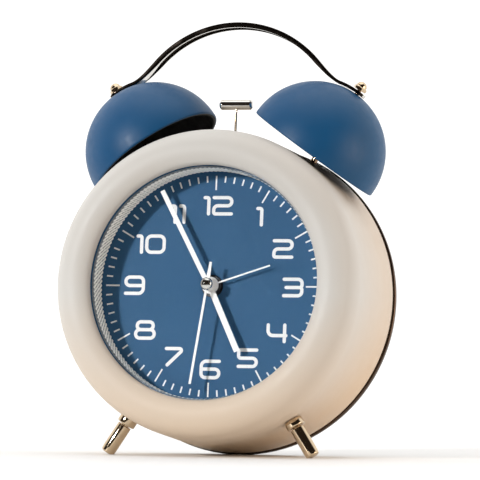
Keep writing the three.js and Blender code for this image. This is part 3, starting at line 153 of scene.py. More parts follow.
# Camera, round the dial's centre
CAMERA_AZIMUTH = 16.1
CAMERA_ELEVATION = 0.9
CAMERA_TIP = 2.78           # how far the camera's level is tipped from the table's
CAMERA_DISTANCE = 1536.6
CAMERA_RIGHT = 10.67
CAMERA_UP = 17.71
CAMERA_LENS = 300


# ---- The clock's frame ----


def joint(name):
    return next(j for j in frame["joints"] if j["name"] == name)


def clock_frame():
    """Columns X, depth and up, with the dial's centre as origin, scaled from millimetres."""
    hands = joint("minute_turn")
    across = Vector((1, 0, 0))
    depth = Vector(hands["axis"]).normalized()
    turn = Matrix((across, depth, across.cross(depth))).transposed()
    return Matrix.Translation(hands["pos_m"]) @ turn.to_4x4() @ Matrix.Scale(MM, 4)


CLOCK = clock_frame()


def span(node):
    """Lowest and highest corner of a CAD node in the clock's frame."""
    inverse = CLOCK.inverted()
    points = [inverse @ v.co for v in frame["nodes"][node].data.vertices]
    return [Vector(pick(p[i] for p in points) for i in range(3)) for pick in (min, max)]


def tilted(side, angle, x=0.0, y=0.0, z=0.0):
    """The clock's frame moved to a point and turned about its depth axis, mirrored by side."""
    turn = Matrix.Rotation(math.radians(side * angle), 4, "Y")
    return CLOCK @ Matrix.Translation((side * x, y, z)) @ turn


def heading(azimuth, elevation):
    """The direction at an azimuth from the front and an elevation, in degrees."""
    around, up = math.radians(azimuth), math.radians(elevation)
    return Vector((math.sin(around) * math.cos(up), -math.cos(around) * math.cos(up), math.sin(up)))


SLOTS = {row["node"]: row["material_slot"] for row in frame["record"]["subparts"]}


# ---- Shape helpers ----


def rounded(corners, closed=False, steps=6):
    """A line through (x, y, radius) corners, each replaced by an arc of its radius."""
    line = []
    count = len(corners)
    for i, (x, y, radius) in enumerate(corners):
        here = Vector((x, y))
        ends = i in (0, count - 1) and not closed
        if radius <= 0 or ends:
            line.append(here)
            continue
        before = Vector(corners[i - 1][:2]) - here
        after = Vector(corners[(i + 1) % count][:2]) - here
        half = before.angle(after) / 2
        if math.pi / 2 - half < 1e-3:
            line.append(here)
            continue
        reach = min(radius / math.tan(half), before.length / 2.001, after.length / 2.001)
        size = reach * math.tan(half)
        middle = here + (before.normalized() + after.normalized()).normalized() * (size / math.sin(half))
        start = here + before.normalized() * reach - middle
        end = here + after.normalized() * reach - middle
        sweep = start.angle_signed(end)
        for step in range(steps + 1):
            turn = Matrix.Rotation(-sweep * step / steps, 2)
            line.append(middle + turn @ start)
    return line


def bezier(a, b, c, d, steps):
    line = []
    for i in range(steps + 1):
        t = i / steps
        s = 1 - t
        line.append(Vector([
            s ** 3 * a[k] + 3 * s * s * t * b[k] + 3 * s * t * t * c[k] + t ** 3 * d[k] for k in range(2)
        ]))
    return line


def arc(x, y, radius, start, end, steps):
    """Points on a circle; angles in degrees from the first axis towards the second."""
    turns = [math.radians(start + (end - start) * i / steps) for i in range(steps + 1)]
    return [Vector((x + radius * math.cos(a), y + radius * math.sin(a))) for a in turns]


def lathe(profile, facets=ROUND, closed=False):
    """Vertices and faces of a (radius, depth) profile turned about Y."""
    verts, rings = [], []
    for radius, depth in profile:
        if radius < 1e-6:
            rings.append([len(verts)])
            verts.append((0, depth, 0))
            continue
        rings.append(list(range(len(verts), len(verts) + facets)))
        for i in range(facets):
            angle = 2 * math.pi * i / facets
            verts.append((radius * math.cos(angle), depth, radius * math.sin(angle)))
    faces = []
    pairs = list(zip(rings, rings[1:])) + ([(rings[-1], rings[0])] if closed else [])
    for a, b in pairs:
        for i in range(facets):
            j = (i + 1) % facets
            quad = [a[i % len(a)], a[j % len(a)], b[j % len(b)], b[i % len(b)]]
            faces.append(list(dict.fromkeys(quad)))
    return verts, faces


def upright(shape):
    """A shape turned so that its axis is Z instead of Y."""
    verts, faces = shape
    return [(x, -z, y) for x, y, z in verts], faces


def sideways(shape):
    """A shape turned so that its axis is X instead of Y."""
    verts, faces = shape
    return [(y, -x, z) for x, y, z in verts], faces


def prism(outline, front, rear):
    """A closed outline in the dial's plane, given depth."""
    count = len(outline)
    verts = [(p[0], front, p[1]) for p in outline] + [(p[0], rear, p[1]) for p in outline]
    faces = [list(range(count)), list(range(2 * count - 1, count - 1, -1))]
    faces += [[i, count + i, count + (i + 1) % count, (i + 1) % count] for i in range(count)]
    return verts, faces


def together(*shapes):
    verts, faces = [], []
    for more, some in shapes:
        start = len(verts)
        verts += more
        faces += [[start + i for i in face] for face in some]
    return verts, faces


def moved(shape, x=0.0, y=0.0, z=0.0):
    verts, faces = shape
    return [(a + x, b + y, c + z) for a, b, c in verts], faces


def mesh_of(name, shape, matrix=CLOCK):
    """A closed mesh in the row frame with its faces turned out."""
    mesh = bpy.data.meshes.new(name)
    verts, faces = shape
    mesh.from_pydata([matrix @ Vector(v) for v in verts], [], faces)
    work = bmesh.new()
    work.from_mesh(mesh)
    bmesh.ops.remove_doubles(work, verts=work.verts, dist=1e-7)
    bmesh.ops.recalc_face_normals(work, faces=work.faces)
    work.to_mesh(mesh)
    work.free()
    return mesh


def finished(mesh, crease=32):
    """Smooth shading, with edges sharper than crease kept."""
    mesh.polygons.foreach_set("use_smooth", [True] * len(mesh.polygons))
    mesh.set_sharp_from_angle(angle=math.radians(crease))
    return mesh


def combined(first, second, operation):
    """The exact boolean of two meshes."""
    a = bpy.data.objects.new("first", first)
    b = bpy.data.objects.new("second", second)
    for o in (a, b):
        bpy.context.scene.collection.objects.link(o)
    modifier = a.modifiers.new("join", "BOOLEAN")
    modifier.operation = operation
    modifier.solver = "EXACT"
    modifier.object = b
    graph = bpy.context.evaluated_depsgraph_get()
    result = bpy.data.meshes.new_from_object(a.evaluated_get(graph))
    for o in (a, b):
        bpy.data.objects.remove(o)
    return result


def piece(name, mesh, body, paint, replaces=(), soften=0.0, crease=32):
    """Adds a piece that rides on a body and stands for the CAD nodes it replaces."""
    paints = paint if isinstance(paint, (list, tuple)) else [paint]
    obj = bpy.data.objects.new(name, finished(mesh, crease))
    bpy.context.scene.collection.objects.link(obj)
    for each in paints:
        mesh.materials.append(each)
    if soften > 0:
        bevel = obj.modifiers.new("soft_edges", "BEVEL")
        bevel.width = soften * MM
        bevel.segments = 3
        bevel.limit_method = "ANGLE"
        bevel.angle_limit = math.radians(crease)
        bevel.harden_normals = True
    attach(obj, body)
    if replaces:
        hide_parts(*replaces)
    return obj


# ---- Materials ----


class Wiring:
    """Shader nodes, each made with its inputs set or linked."""

    def __init__(self, tree):
        self.nodes = tree.nodes
        self.links = tree.links

    def node(self, kind, inputs=(), **options):
        made = self.nodes.new(kind)
        for key, value in options.items():
            setattr(made, key, value)
        for key, value in dict(inputs).items():
            self.feed(made.inputs[key], value)
        return made

    def feed(self, socket, value):
        if isinstance(value, bpy.types.NodeSocket):
            self.links.new(value, socket)
        else:
            socket.default_value = value

    def blend(self, share, first, second):
        """A colour that goes from first to second, each a colour or a socket."""
        mix = self.node("ShaderNodeMix", {0: share}, data_type="RGBA")
        for socket, value in ((mix.inputs[6], first), (mix.inputs[7], second)):
            self.feed(socket, value if isinstance(value, bpy.types.NodeSocket) else (*value, 1))
        return mix.outputs[2]


class Paint(Wiring):
    """A procedural material: a Principled shader fed by textures in the piece's own place."""

    def __init__(self, name, color, roughness, metallic=0.0):
        self.material = bpy.data.materials.new(name)
        self.material.use_nodes = True
        super().__init__(self.material.node_tree)
        self.shader = self.nodes["Principled BSDF"]
        self.place = self.nodes.new("ShaderNodeTexCoord").outputs["Object"]
        self.height = None
        self.set("Base Color", (*color, 1))
        self.set("Roughness", roughness)
        self.set("Metallic", metallic)

    def set(self, socket, value):
        self.shader.inputs[socket].default_value = value
        return self

    def stretched(self, scale):
        return self.node("ShaderNodeMapping", {"Vector": self.place, "Scale": scale}).outputs[0]

    def noise(self, size, detail=3.0, stretch=None):
        """Noise whose blotches are about size millimetres across."""
        place = self.stretched(stretch) if stretch else self.place
        inputs = {"Vector": place, "Scale": 1 / (size * MM), "Detail": detail}
        return self.node("ShaderNodeTexNoise", inputs).outputs["Fac"]

    def ramp(self, source, low, high, start=0.35, end=0.65):
        """source spread from low to high."""
        values = {"Value": source, "From Min": start, "From Max": end, "To Min": low, "To Max": high}
        return self.node("ShaderNodeMapRange", values).outputs["Result"]

    def colour(self, socket):
        self.links.new(socket, self.shader.inputs["Base Color"])
        return self

    def rough(self, socket):
        self.links.new(socket, self.shader.inputs["Roughness"])
        return self

    def bump(self, source, depth, strength=0.5):
        """Adds relief depth millimetres deep on top of what is there."""
        values = {"Height": source, "Strength": strength, "Distance": depth * MM}
        if self.height is not None:
            values["Normal"] = self.height
        self.height = self.node("ShaderNodeBump", values).outputs["Normal"]
        self.links.new(self.height, self.shader.inputs["Normal"])
        return self


def pearl_paint(name, pale, warm, low):
    """Satin pearl lacquer: drifting tint, fine flakes, and a painted warm reflection and shade low down and
    towards the back.
    """
    paint = Paint(name, pale, 0.5)
    drift = paint.ramp(paint.noise(45, 2), 0, 1)
    flakes = paint.node("ShaderNodeTexVoronoi", {"Vector": paint.place, "Scale": 1 / (0.28 * MM)})
    sparkle = paint.ramp(flakes.outputs["Distance"], 0.0, 0.12, 0.0, 0.6)
    where = paint.node("ShaderNodeSeparateXYZ", {0: paint.place}).outputs
    # painted warm reflection and shade: the lacquer blends to low, warmer and a little darker, low down and
    # towards the back
    down = paint.ramp(where["Z"], 0.9, 0, 0, PAINTED_REFLECTION_HEIGHT * MM)
    back = paint.ramp(where["Y"], 0, 0.5, *(depth * MM for depth in PAINTED_REFLECTION_DEPTHS))
    painted_reflection_share = paint.node("ShaderNodeMath", {0: down, 1: back}, operation="ADD", use_clamp=True).outputs[0]
    base = paint.blend(painted_reflection_share, paint.blend(drift, pale, warm), low)
    paint.colour(paint.blend(sparkle, base, tuple(c * 1.06 for c in pale)))
    paint.rough(paint.ramp(paint.noise(6, 4), 0.46, 0.54))
    paint.set("Specular IOR Level", 0.35)
    paint.bump(paint.noise(0.5, 2), 0.01, 0.25)
    paint.bump(paint.noise(9, 1), 0.03, 0.2)
    return paint.material


def bell_paint():
    """Satin blue lacquer on spun steel: a faint drifting tint and orange peel."""
    blue = (0.004, 0.068, 0.175)
    paint = Paint("bell_blue", blue, 0.5)
    drift = paint.ramp(paint.noise(18, 3), 0, 1)
    paint.colour(paint.blend(drift, blue, (0.006, 0.074, 0.188)))
    paint.rough(paint.ramp(paint.noise(3, 5), 0.42, 0.5))
    paint.set("Specular IOR Level", 0.3)
    paint.bump(paint.noise(0.7, 2), 0.012, 0.3)
    return paint.material


def coat(name, tints, rough, spots, shine, relief, depth, strength=0.3, metallic=0.0):
    """Spots between two tints, roughness that drifts between two values, and fine relief.

    spots, shine and relief are the noises of each: size in millimetres, detail and, if any, stretch.
    """
    paint = Paint(name, tints[0], rough[0], metallic)
    speckle = paint.noise(*spots)
    paint.colour(paint.blend(paint.ramp(speckle, 0, 1), *tints))
    paint.rough(paint.ramp(paint.noise(*shine), *rough))
    paint.bump(speckle if relief == spots else paint.noise(*relief), depth, strength)
    return paint.material


def dial_paint():
    """Screen-printed matte blue card with a fine grain."""
    blue = (0.030, 0.091, 0.184)
    paint = Paint("dial_blue", blue, 0.6)
    grain = paint.ramp(paint.noise(0.25, 4), 0, 1)
    wide = paint.ramp(paint.noise(30, 2), 0, 1)
    shade = paint.blend(wide, blue, (0.026, 0.083, 0.170))
    paint.colour(paint.blend(grain, shade, (0.034, 0.099, 0.196)))
    paint.set("Specular IOR Level", 0.1)
    paint.rough(paint.ramp(paint.noise(1.5, 4), 0.52, 0.68))
    paint.bump(paint.noise(0.18, 3), 0.008, 0.35)
    return paint.material


def white_paint(name, white):
    """White enamel or ink, with the slight unevenness of a thick coat."""
    tints = ((white, white, white), (white * 1.06, white * 1.05, white * 1.03))
    return coat(name, tints, (0.42, 0.58), (1.2, 3), (0.8, 3), (0.3, 2), 0.006)


def chrome_paint(name, color, low, high):
    """Bright plating with hairlines and fingermarks."""
    paint = Paint(name, color, low, 1.0)
    marks = paint.ramp(paint.noise(5, 5), 0, 1, 0.45, 0.7)
    paint.colour(paint.blend(marks, color, tuple(c * 0.93 for c in color)))
    hair = paint.noise(0.35, 2, (1, 0.08, 1))
    worn = paint.node("ShaderNodeMath", {0: hair, 1: marks}, operation="MULTIPLY").outputs[0]
    paint.rough(paint.ramp(worn, low, high, 0.1, 0.6))
    paint.bump(hair, 0.0015, 0.15)
    return paint.material


def copper_paint():
    """Enamelled wire, wound round the bobbin's X axis."""
    paint = Paint("copper", (0.45, 0.16, 0.06), 0.3, 0.9)
    wave = {"Vector": paint.place, "Scale": 1 / (2.2 * MM), "Distortion": 0.4}
    turns = paint.node("ShaderNodeTexWave", wave)
    paint.colour(paint.blend(turns.outputs["Fac"], (0.30, 0.10, 0.035), (0.56, 0.22, 0.08)))
    paint.rough(paint.ramp(paint.noise(0.8, 3), 0.22, 0.4))
    paint.bump(turns.outputs["Fac"], 0.06, 0.6)
    return paint.material


def plastic_paint(name, color, other, low, high, grain=0.3, depth=0.02):
    """Moulded plastic: spark-eroded grain, and gloss that varies with handling."""
    return coat(name, (color, other), (low, high), (7, 4), (4, 5), (grain, 2), depth, 0.5)


def lens_paint():
    """A clear pane that lamps shine through."""
    paint = Paint("lens_glass", (0.98, 0.99, 0.99), 0.02)
    paint.set("Transmission Weight", 1.0).set("IOR", 1.05)
    paint.bump(paint.noise(14, 2), 0.004, 0.1)
    path = paint.node("ShaderNodeLightPath")
    clear = paint.node("ShaderNodeBsdfTransparent")
    mix = paint.node("ShaderNodeMixShader")
    paint.links.new(path.outputs["Is Shadow Ray"], mix.inputs[0])
    paint.links.new(paint.shader.outputs[0], mix.inputs[1])
    paint.links.new(clear.outputs[0], mix.inputs[2])
    paint.links.new(mix.outputs[0], paint.nodes["Material Output"].inputs["Surface"])
    return paint.material


def board_paint():
    """Solder mask with tracks showing through."""
    paint = Paint("circuit_board", (0.01, 0.10, 0.045), 0.35)
    tracks = paint.node("ShaderNodeTexBrick", {
        "Vector": paint.place, "Scale": 1 / (8 * MM), "Mortar Size": 0.04,
        "Color1": (0.008, 0.085, 0.038, 1), "Color2": (0.010, 0.10, 0.045, 1),
        "Mortar": (0.03, 0.19, 0.08, 1),
    })
    paint.colour(tracks.outputs["Color"])
    paint.rough(paint.ramp(paint.noise(1.5, 3), 0.25, 0.45))
    paint.bump(tracks.outputs["Fac"], 0.03, 0.4)
    return paint.material


def jacket_paint():
    """Printed film on a cell: a dark body with a copper-coloured band at one end."""
    paint = Paint("cell_jacket", (0.02, 0.021, 0.024), 0.3, 0.5)
    across = paint.node("ShaderNodeSeparateXYZ", {0: paint.place}).outputs["X"]
    low, high = [corner.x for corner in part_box("battery_upper")]
    band = paint.ramp(across, 0, 1, high - (high - low) * 0.30, high - (high - low) * 0.29)
    worn = paint.ramp(paint.noise(3, 4), 0, 1)
    body = paint.blend(worn, (0.018, 0.019, 0.022), (0.03, 0.03, 0.034))
    paint.colour(paint.blend(band, body, (0.48, 0.24, 0.09)))
    paint.rough(paint.ramp(paint.noise(1.5, 3), 0.2, 0.36))
    paint.bump(paint.noise(0.5, 2), 0.008, 0.3)
    return paint.material


PAINTS = {
    "pearl_shell": pearl_paint(
        # the third colour is the painted warm reflection and shade, low down and towards the back
        "pearl_shell", (0.60, 0.58, 0.545), (0.585, 0.555, 0.515), (0.68, 0.50, 0.33),
    ),
    "bell_blue": bell_paint(),
    "dial_blue": dial_paint(),
    "hand_white": white_paint("hand_white", 0.80),
    "chrome": chrome_paint("chrome", (0.72, 0.70, 0.66), 0.05, 0.14),
    "steel": coat(
        "steel", ((0.50, 0.50, 0.50), (0.62, 0.61, 0.59)), (0.25, 0.42),
        (0.25, 3, (0.06, 1, 1)), (2, 4), (0.25, 3, (0.06, 1, 1)), 0.004, metallic=1.0,
    ),
    "brass": coat(
        "brass", ((0.66, 0.46, 0.17), (0.52, 0.34, 0.12)), (0.2, 0.36),
        (1.5, 4), (0.6, 4), (0.3, 2, (1, 0.1, 1)), 0.003, metallic=1.0,
    ),
    "copper": copper_paint(),
    "black_plastic": plastic_paint(
        "black_plastic", (0.016, 0.016, 0.017), (0.024, 0.024, 0.025), 0.34, 0.5,
    ),
    "nylon": plastic_paint("nylon", (0.72, 0.70, 0.64), (0.66, 0.64, 0.57), 0.4, 0.55, 0.8, 0.01),
    "lens_glass": lens_paint(),
    "circuit_board": board_paint(),
    "cell_jacket": jacket_paint(),
}
# painted shade: a near-black coat on the insides of the bells, standing in for the shade in their hollows
BELL_PAINTED_SHADE = coat(
    "bell_inside_painted_shade", ((0.004, 0.004, 0.005), (0.014, 0.013, 0.013)), (0.65, 0.85),
    (4, 5), (2, 4), (0.4, 3), 0.02, 0.4,
)
KNURLED = coat(
    "knurled_silver", ((0.97, 0.97, 0.94), (0.80, 0.80, 0.75)), (0.32, 0.48),
    (0.5, 4), (0.4, 3), (0.2, 2), 0.01,
)
# painted shade: dark grey for the faces deep in the knurl's grooves, where shade falls
KNURL_PAINTED_SHADE = plastic_paint("knurl_painted_shade", (0.20, 0.23, 0.26), (0.12, 0.15, 0.18), 0.4, 0.6)
PRINT_WHITE = white_paint("print_white", 0.72)
# painted reflection: near-black chrome for the strap's front and back faces, standing in for the dark surroundings
# they reflect
STRAP_PAINTED_DARK_REFLECTION = chrome_paint("strap_dark_reflection_paint", (0.035, 0.027, 0.022), 0.12, 0.22)
DARK_CHROME = chrome_paint("post_chrome", (0.30, 0.20, 0.13), 0.08, 0.2)
RIM_BRONZE = chrome_paint("rim_bronze", (0.10, 0.068, 0.05), 0.14, 0.3)
# painted reflection: chrome made darker and warmer, standing in for dark and warm surroundings reflected in the
# feet, collars and acorn nuts
CHROME_PAINTED_WARM_REFLECTION = chrome_paint("chrome_warm_reflection_paint", (0.64, 0.50, 0.34), 0.05, 0.14)


def dress_frame():
    """Every CAD node takes the material of its slot."""
    for row in frame["record"]["subparts"]:
        mesh = frame["nodes"][row["node"]].data
        mesh.materials.clear()
        mesh.materials.append(PAINTS[row["material_slot"]])


# ---- Drum ----


def shell_profile():
    """The pearl shell's section as (radius, depth), a closed line."""
    rear = span("front_shell")[1]
    lens_front = span("lens")[0].y
    sleeve_inner = span("lens")[1].x + SEAT
    nose = bezier(
        (LIP_RADIUS, LIP_FRONT), (LIP_RADIUS + 0.2, LIP_FRONT - 5.3),
        (NOSE_RADIUS, NOSE_DEPTH - 17.1), (NOSE_RADIUS, NOSE_DEPTH), 48,
    )
    tail = rounded([
        (NOSE_RADIUS, NOSE_DEPTH, 0), (rear.x, rear.y, 0.5), (rear.x - SHELL_WALL, rear.y, 0.3),
        (NOSE_RADIUS - SHELL_WALL, NOSE_DEPTH, 0),
    ])
    inside = bezier(
        (NOSE_RADIUS - SHELL_WALL, NOSE_DEPTH), (NOSE_RADIUS - SHELL_WALL, NOSE_DEPTH - 11),
        (SLEEVE_OUTER, LIP_FRONT - 5), (SLEEVE_OUTER, lens_front + 1.2), 16,
    )
    back = [
        (SLEEVE_OUTER, -SEAT), (sleeve_inner, -SEAT), (sleeve_inner, LIP_FRONT + LIP_THICKNESS),
        (LIP_RADIUS, LIP_FRONT + LIP_THICKNESS),
    ]
    return [*nose, *tail[1:], *inside[1:], *[Vector(p) for p in back]]


def front_shell():
    drum = mesh_of("front_shell_body", lathe(shell_profile(), 240, closed=True))
    hammer = span("hammer_rod")
    y = (hammer[0].y + hammer[1].y) / 2
    slot = rounded([
        (-HAMMER_SLOT, -y - 1.05, 1), (HAMMER_SLOT, -y - 1.05, 1),
        (HAMMER_SLOT, -y + 1.05, 1), (-HAMMER_SLOT, -y + 1.05, 1),
    ], True)
    cutter = mesh_of("slot", upright(prism(slot, NOSE_RADIUS - 20, NOSE_RADIUS + 5)))
    mesh = combined(drum, cutter, "DIFFERENCE")
    piece("shell", mesh, "case", PAINTS["pearl_shell"], ["front_shell"])


def rear_ring():
    low, high = span("rear_ring")
    inner = high.x - 4.0
    profile = rounded([
        (inner, low.y, 0.2), (high.x, low.y, 0.7), (high.x, high.y, 1.1), (inner, high.y, 0.9),
    ], True)
    mesh = mesh_of("rim", lathe(profile, 200, closed=True))
    for v in mesh.vertices:
        v.co.z = max(v.co.z, 0)
    piece("rim", mesh, "case", RIM_BRONZE, ["rear_ring"])


def lens():
    low, high = span("lens")
    profile = rounded([(0, low.y, 0), (high.x, low.y, 0.25), (high.x, high.y, 0.25), (0, high.y, 0)])
    pane = mesh_of("window", lathe(profile))
    piece("window", pane, "case", PAINTS["lens_glass"], ["lens"])


def knurled_wall(radius, front, rear, pitch, depth, lead, rows):
    """Rings of a rope-knurled wall: ribs at a slant, each row turned a little further."""
    ribs = round(2 * math.pi * radius / pitch)
    across = 8
    rings = []
    for row in range(rows + 1):
        share = row / rows
        turn = lead * share
        ring = []
        for i in range(ribs * across):
            wave = abs(math.sin(math.pi * (i / across + turn)))
            r = radius + depth * (1 - wave)
            angle = 2 * math.pi * i / (ribs * across)
            ring.append((r * math.cos(angle), front + (rear - front) * share, r * math.sin(angle)))
        rings.append(ring)
    return rings


def ring_shape(rings, closed=True):
    """Vertices and faces of rings of equal length, closed into a torus or capped at both ends."""
    count = len(rings[0])
    verts = [v for ring in rings for v in ring]
    faces = [] if closed else [list(range(count)), list(range(len(verts) - count, len(verts)))]
    for a in range(len(rings) if closed else len(rings) - 1):
        b = (a + 1) % len(rings)
        for i in range(count):
            j = (i + 1) % count
            faces.append([a * count + i, a * count + j, b * count + j, b * count + i])
    return verts, faces


def chapter_ring():
    """The silver ring round the dial: rope knurling on its inner wall and a milled front edge."""
    low, high = span("chapter_ring")
    inner = high.x - 1.6
    rings = knurled_wall(inner, low.y + 0.4, high.y, KNURL_PITCH, KNURL_DEPTH, KNURL_LEAD, KNURL_ROWS)
    count = len(rings[0])
    circle = [(math.cos(turn), math.sin(turn)) for turn in (2 * math.pi * i / count for i in range(count))]
    bead = inner + KNURL_DEPTH + 0.25
    for radius, depth in ((high.x, high.y), (high.x, low.y), (bead, low.y)):
        rings.append([(radius * c, depth, radius * s) for c, s in circle])
    mesh = mesh_of("knurled_ring", ring_shape(rings))
    inverse = CLOCK.inverted()
    # faces deep in the knurl's grooves take the painted shade
    groove = inner + 0.6 * KNURL_DEPTH
    for face in mesh.polygons:
        places = [inverse @ mesh.vertices[v].co for v in face.vertices]
        radius = sum(math.hypot(p.x, p.z) for p in places) / len(places)
        if max(p.y for p in places) < low.y + 0.01:
            face.material_index = 1
        elif groove < radius < bead:
            face.material_index = 2
    paints = [KNURLED, PAINTS["dial_blue"], KNURL_PAINTED_SHADE]
    piece("knurled_ring", mesh, "case", paints, ["chapter_ring"], crease=60)


def dial():
    low, high = span("dial_plate")
    profile = rounded([
        (DIAL_HOLE, low.y, 0.15), (high.x, low.y, 0.2), (high.x, high.y, 0.1), (DIAL_HOLE, high.y, 0.1),
    ], True)
    card = mesh_of("dial", lathe(profile, closed=True))
    piece("dial", card, "case", PAINTS["dial_blue"], ["dial_plate"])


def ticks():
    """Radial printed marks, one in six of them long."""
    shapes = []
    for i in range(DIVISIONS):
        inner = HOUR_TICK_INNER if i % 6 == 0 else TICK_INNER
        angle = 2 * math.pi * i / DIVISIONS
        along = Vector((math.sin(angle), math.cos(angle)))
        side = Vector((along.y, -along.x)) * (TICK_WIDTH / 2)
        near, far = along * inner, along * TICK_OUTER
        shapes.append(prism([near - side, near + side, far + side, far - side], -PRINT_HEIGHT, PRINT_ROOT))
    piece("dial_ticks", mesh_of("dial_ticks", together(*shapes)), "case", PRINT_WHITE)


# ---- Numerals: rounded strokes in a cell one wide and one high ----

LOOP = 1.9                  # corner radius of the bowls, at the stroke's middle
BEND = 0.9                  # and of the tighter corners
NOTCH = 0.72                # of the tightest, just over half a stroke
GLYPHS = {
    "0": (8.3, [([(0, 0, LOOP), (1, 0, LOOP), (1, 1, LOOP), (0, 1, LOOP)], True)]),
    "1": (2.9, [([(0, 1, 0), (1, 1, NOTCH), (1, 0, 0)], False)]),
    "2": (8.4, [
        ([(0, 1, 0), (1, 1, LOOP), (1, 0.5, LOOP), (0, 0.5, LOOP), (0, 0, NOTCH), (1, 0, 0)], False),
    ]),
    "3": (8.4, [
        ([(0, 1, 0), (1, 1, LOOP), (1, 0.5, BEND), (0.12, 0.5, 0)], False),
        ([(0.12, 0.5, 0), (1, 0.5, BEND), (1, 0, LOOP), (0, 0, 0)], False),
    ]),
    "4": (8.4, [
        ([(0, 1, 0), (0, 0.36, LOOP), (0.9, 0.36, 0), (1, 0.36, 0)], False),
        ([(0.92, 1, 0), (0.92, 0, 0)], False),
    ]),
    "5": (8.4, [
        ([(1, 1, 0), (0, 1, NOTCH), (0, 0.5, BEND), (1, 0.5, LOOP), (1, 0, LOOP), (0, 0, 0)], False),
    ]),
    "6": (8.4, [
        ([(0, 0, LOOP), (1, 0, LOOP), (1, 0.52, LOOP), (0, 0.52, NOTCH)], True),
        ([(1, 1, 0), (0, 1, LOOP), (0, 0.3, 0)], False),
    ]),
    "7": (8.4, [([(0, 1, 0), (1, 1, NOTCH), (0.08, 0, 0)], False)]),
    "8": (8.8, [
        ([(0, 0, LOOP), (1, 0, LOOP), (1, 0.52, LOOP), (0, 0.52, LOOP)], True),
        ([(0.07, 0.52, LOOP), (0.93, 0.52, LOOP), (0.93, 1, LOOP), (0.07, 1, LOOP)], True),
    ]),
    "9": (8.4, [
        ([(0, 0.48, LOOP), (1, 0.48, NOTCH), (1, 1, LOOP), (0, 1, LOOP)], True),
        ([(1, 0.7, 0), (1, 0, LOOP), (0, 0, 0)], False),
    ]),
}


def offset(line, distance, closed):
    """The line moved sideways, with mitred corners."""
    count = len(line)
    out = []
    for i, p in enumerate(line):
        before = line[i - 1] if i > 0 or closed else None
        after = line[(i + 1) % count] if i < count - 1 or closed else None
        one = (p - before).normalized() if before is not None else (after - p).normalized()
        two = (after - p).normalized() if after is not None else one
        normal = (Vector((-one.y, one.x)) + Vector((-two.y, two.x))).normalized()
        out.append(p + normal * distance / max(normal.dot(Vector((-one.y, one.x))), 0.3))
    return out


def distinct(line, closed):
    kept = [p for i, p in enumerate(line) if i == 0 or (p - line[i - 1]).length > 1e-4]
    if closed and (kept[0] - kept[-1]).length < 1e-4:
        kept.pop()
    return kept


def stroke(corners, closed, width, front, rear):
    """A printed stroke with round ends, or a closed loop of it."""
    line = distinct(rounded(corners, closed), closed)
    half = width / 2
    left, right = offset(line, half, closed), offset(line, -half, closed)
    if closed:
        loops = [(left, front), (left, rear), (right, rear), (right, front)]
        return ring_shape([[(p.x, depth, p.y) for p in loop] for loop, depth in loops])
    outline = list(left)
    for end, towards in ((line[-1], line[-1] - line[-2]), (line[0], line[0] - line[1])):
        heading = math.degrees(math.atan2(towards.y, towards.x))
        outline += arc(end.x, end.y, half, heading + 90, heading - 90, 8)[1:-1]
        outline += list(reversed(right)) if end is line[-1] else []
    return prism(outline, front, rear)


def glyph(character):
    """The mesh of one character with its lower left corner at the origin, and its width."""
    width, strokes = GLYPHS[character]
    across, up = width - NUMERAL_STROKE, NUMERAL_HEIGHT - NUMERAL_STROKE
    half = NUMERAL_STROKE / 2
    meshes = []
    for corners, closed in strokes:
        scaled = [(half + x * across, half + y * up, radius) for x, y, radius in corners]
        shape = stroke(scaled, closed, NUMERAL_STROKE, -PRINT_HEIGHT, PRINT_ROOT)
        meshes.append(mesh_of("stroke", shape, Matrix.Identity(4)))
    whole = meshes[0]
    for other in meshes[1:]:
        whole = combined(whole, other, "UNION")
    return whole, width


def numerals():
    """All twelve numbers, each upright and centred on its place."""
    gap = 0.75
    work = bmesh.new()
    for text, (x, z) in NUMERALS.items():
        glyphs = [glyph(c) for c in text]
        left = x - (sum(width for _, width in glyphs) + gap * (len(glyphs) - 1)) / 2
        for mesh, width in glyphs:
            mesh.transform(CLOCK @ Matrix.Translation((left, 0, z - NUMERAL_HEIGHT / 2)))
            work.from_mesh(mesh)
            left += width + gap
    whole = bpy.data.meshes.new("dial_numerals")
    work.to_mesh(whole)
    work.free()
    piece("dial_numerals", whole, "case", PRINT_WHITE)


# ---- Feet ----


def foot_shape():
    """A polished rod with a rounded end, standing along -Z."""
    shoulder = NOSE_RADIUS + SEAT + COLLAR_HEIGHT + SEAT
    groove = FOOT_REACH - 2.6
    profile = rounded([
        (0, -FOOT_REACH, 0), (FOOT_RADIUS - 0.2, -FOOT_REACH, 0.8), (FOOT_RADIUS, -FOOT_REACH + 2.2, 0.15),
        (FOOT_RADIUS, -groove, 0.15), (FOOT_RADIUS, -shoulder, 0.3), (FOOT_STUD, -shoulder, 0),
        (FOOT_STUD, -NOSE_RADIUS + 6, 0.2), (0, -NOSE_RADIUS + 6, 0),
    ])
    return upright(lathe(profile, 64))


def collar_shape():
    base = -NOSE_RADIUS - SEAT - 0.15
    top = base - COLLAR_HEIGHT + SEAT
    profile = rounded([
        (FOOT_STUD + SEAT, base, 0), (COLLAR_RADIUS, base, 0.2), (COLLAR_RADIUS, top, 0.6),
        (FOOT_STUD + SEAT, top, 0.2),
    ], True)
    return upright(lathe(profile, 64, closed=True))


def feet():
    for name, side in (("left", -1), ("right", 1)):
        place = tilted(-side, FOOT_ANGLE, 0, FOOT_DEPTH, 0)
        rod = mesh_of("foot", foot_shape(), place)
        for v in rod.vertices:
            v.co.z = max(v.co.z, 0)
        # legs and collars take the chrome with the painted warm reflection
        piece(f"leg_{name}", rod, "case", CHROME_PAINTED_WARM_REFLECTION, [f"foot_{name}"])
        collar = mesh_of("collar", collar_shape(), place)
        piece(f"leg_collar_{name}", collar, "case", CHROME_PAINTED_WARM_REFLECTION, [f"foot_collar_{name}"])


# ---- Bells, posts and nuts ----


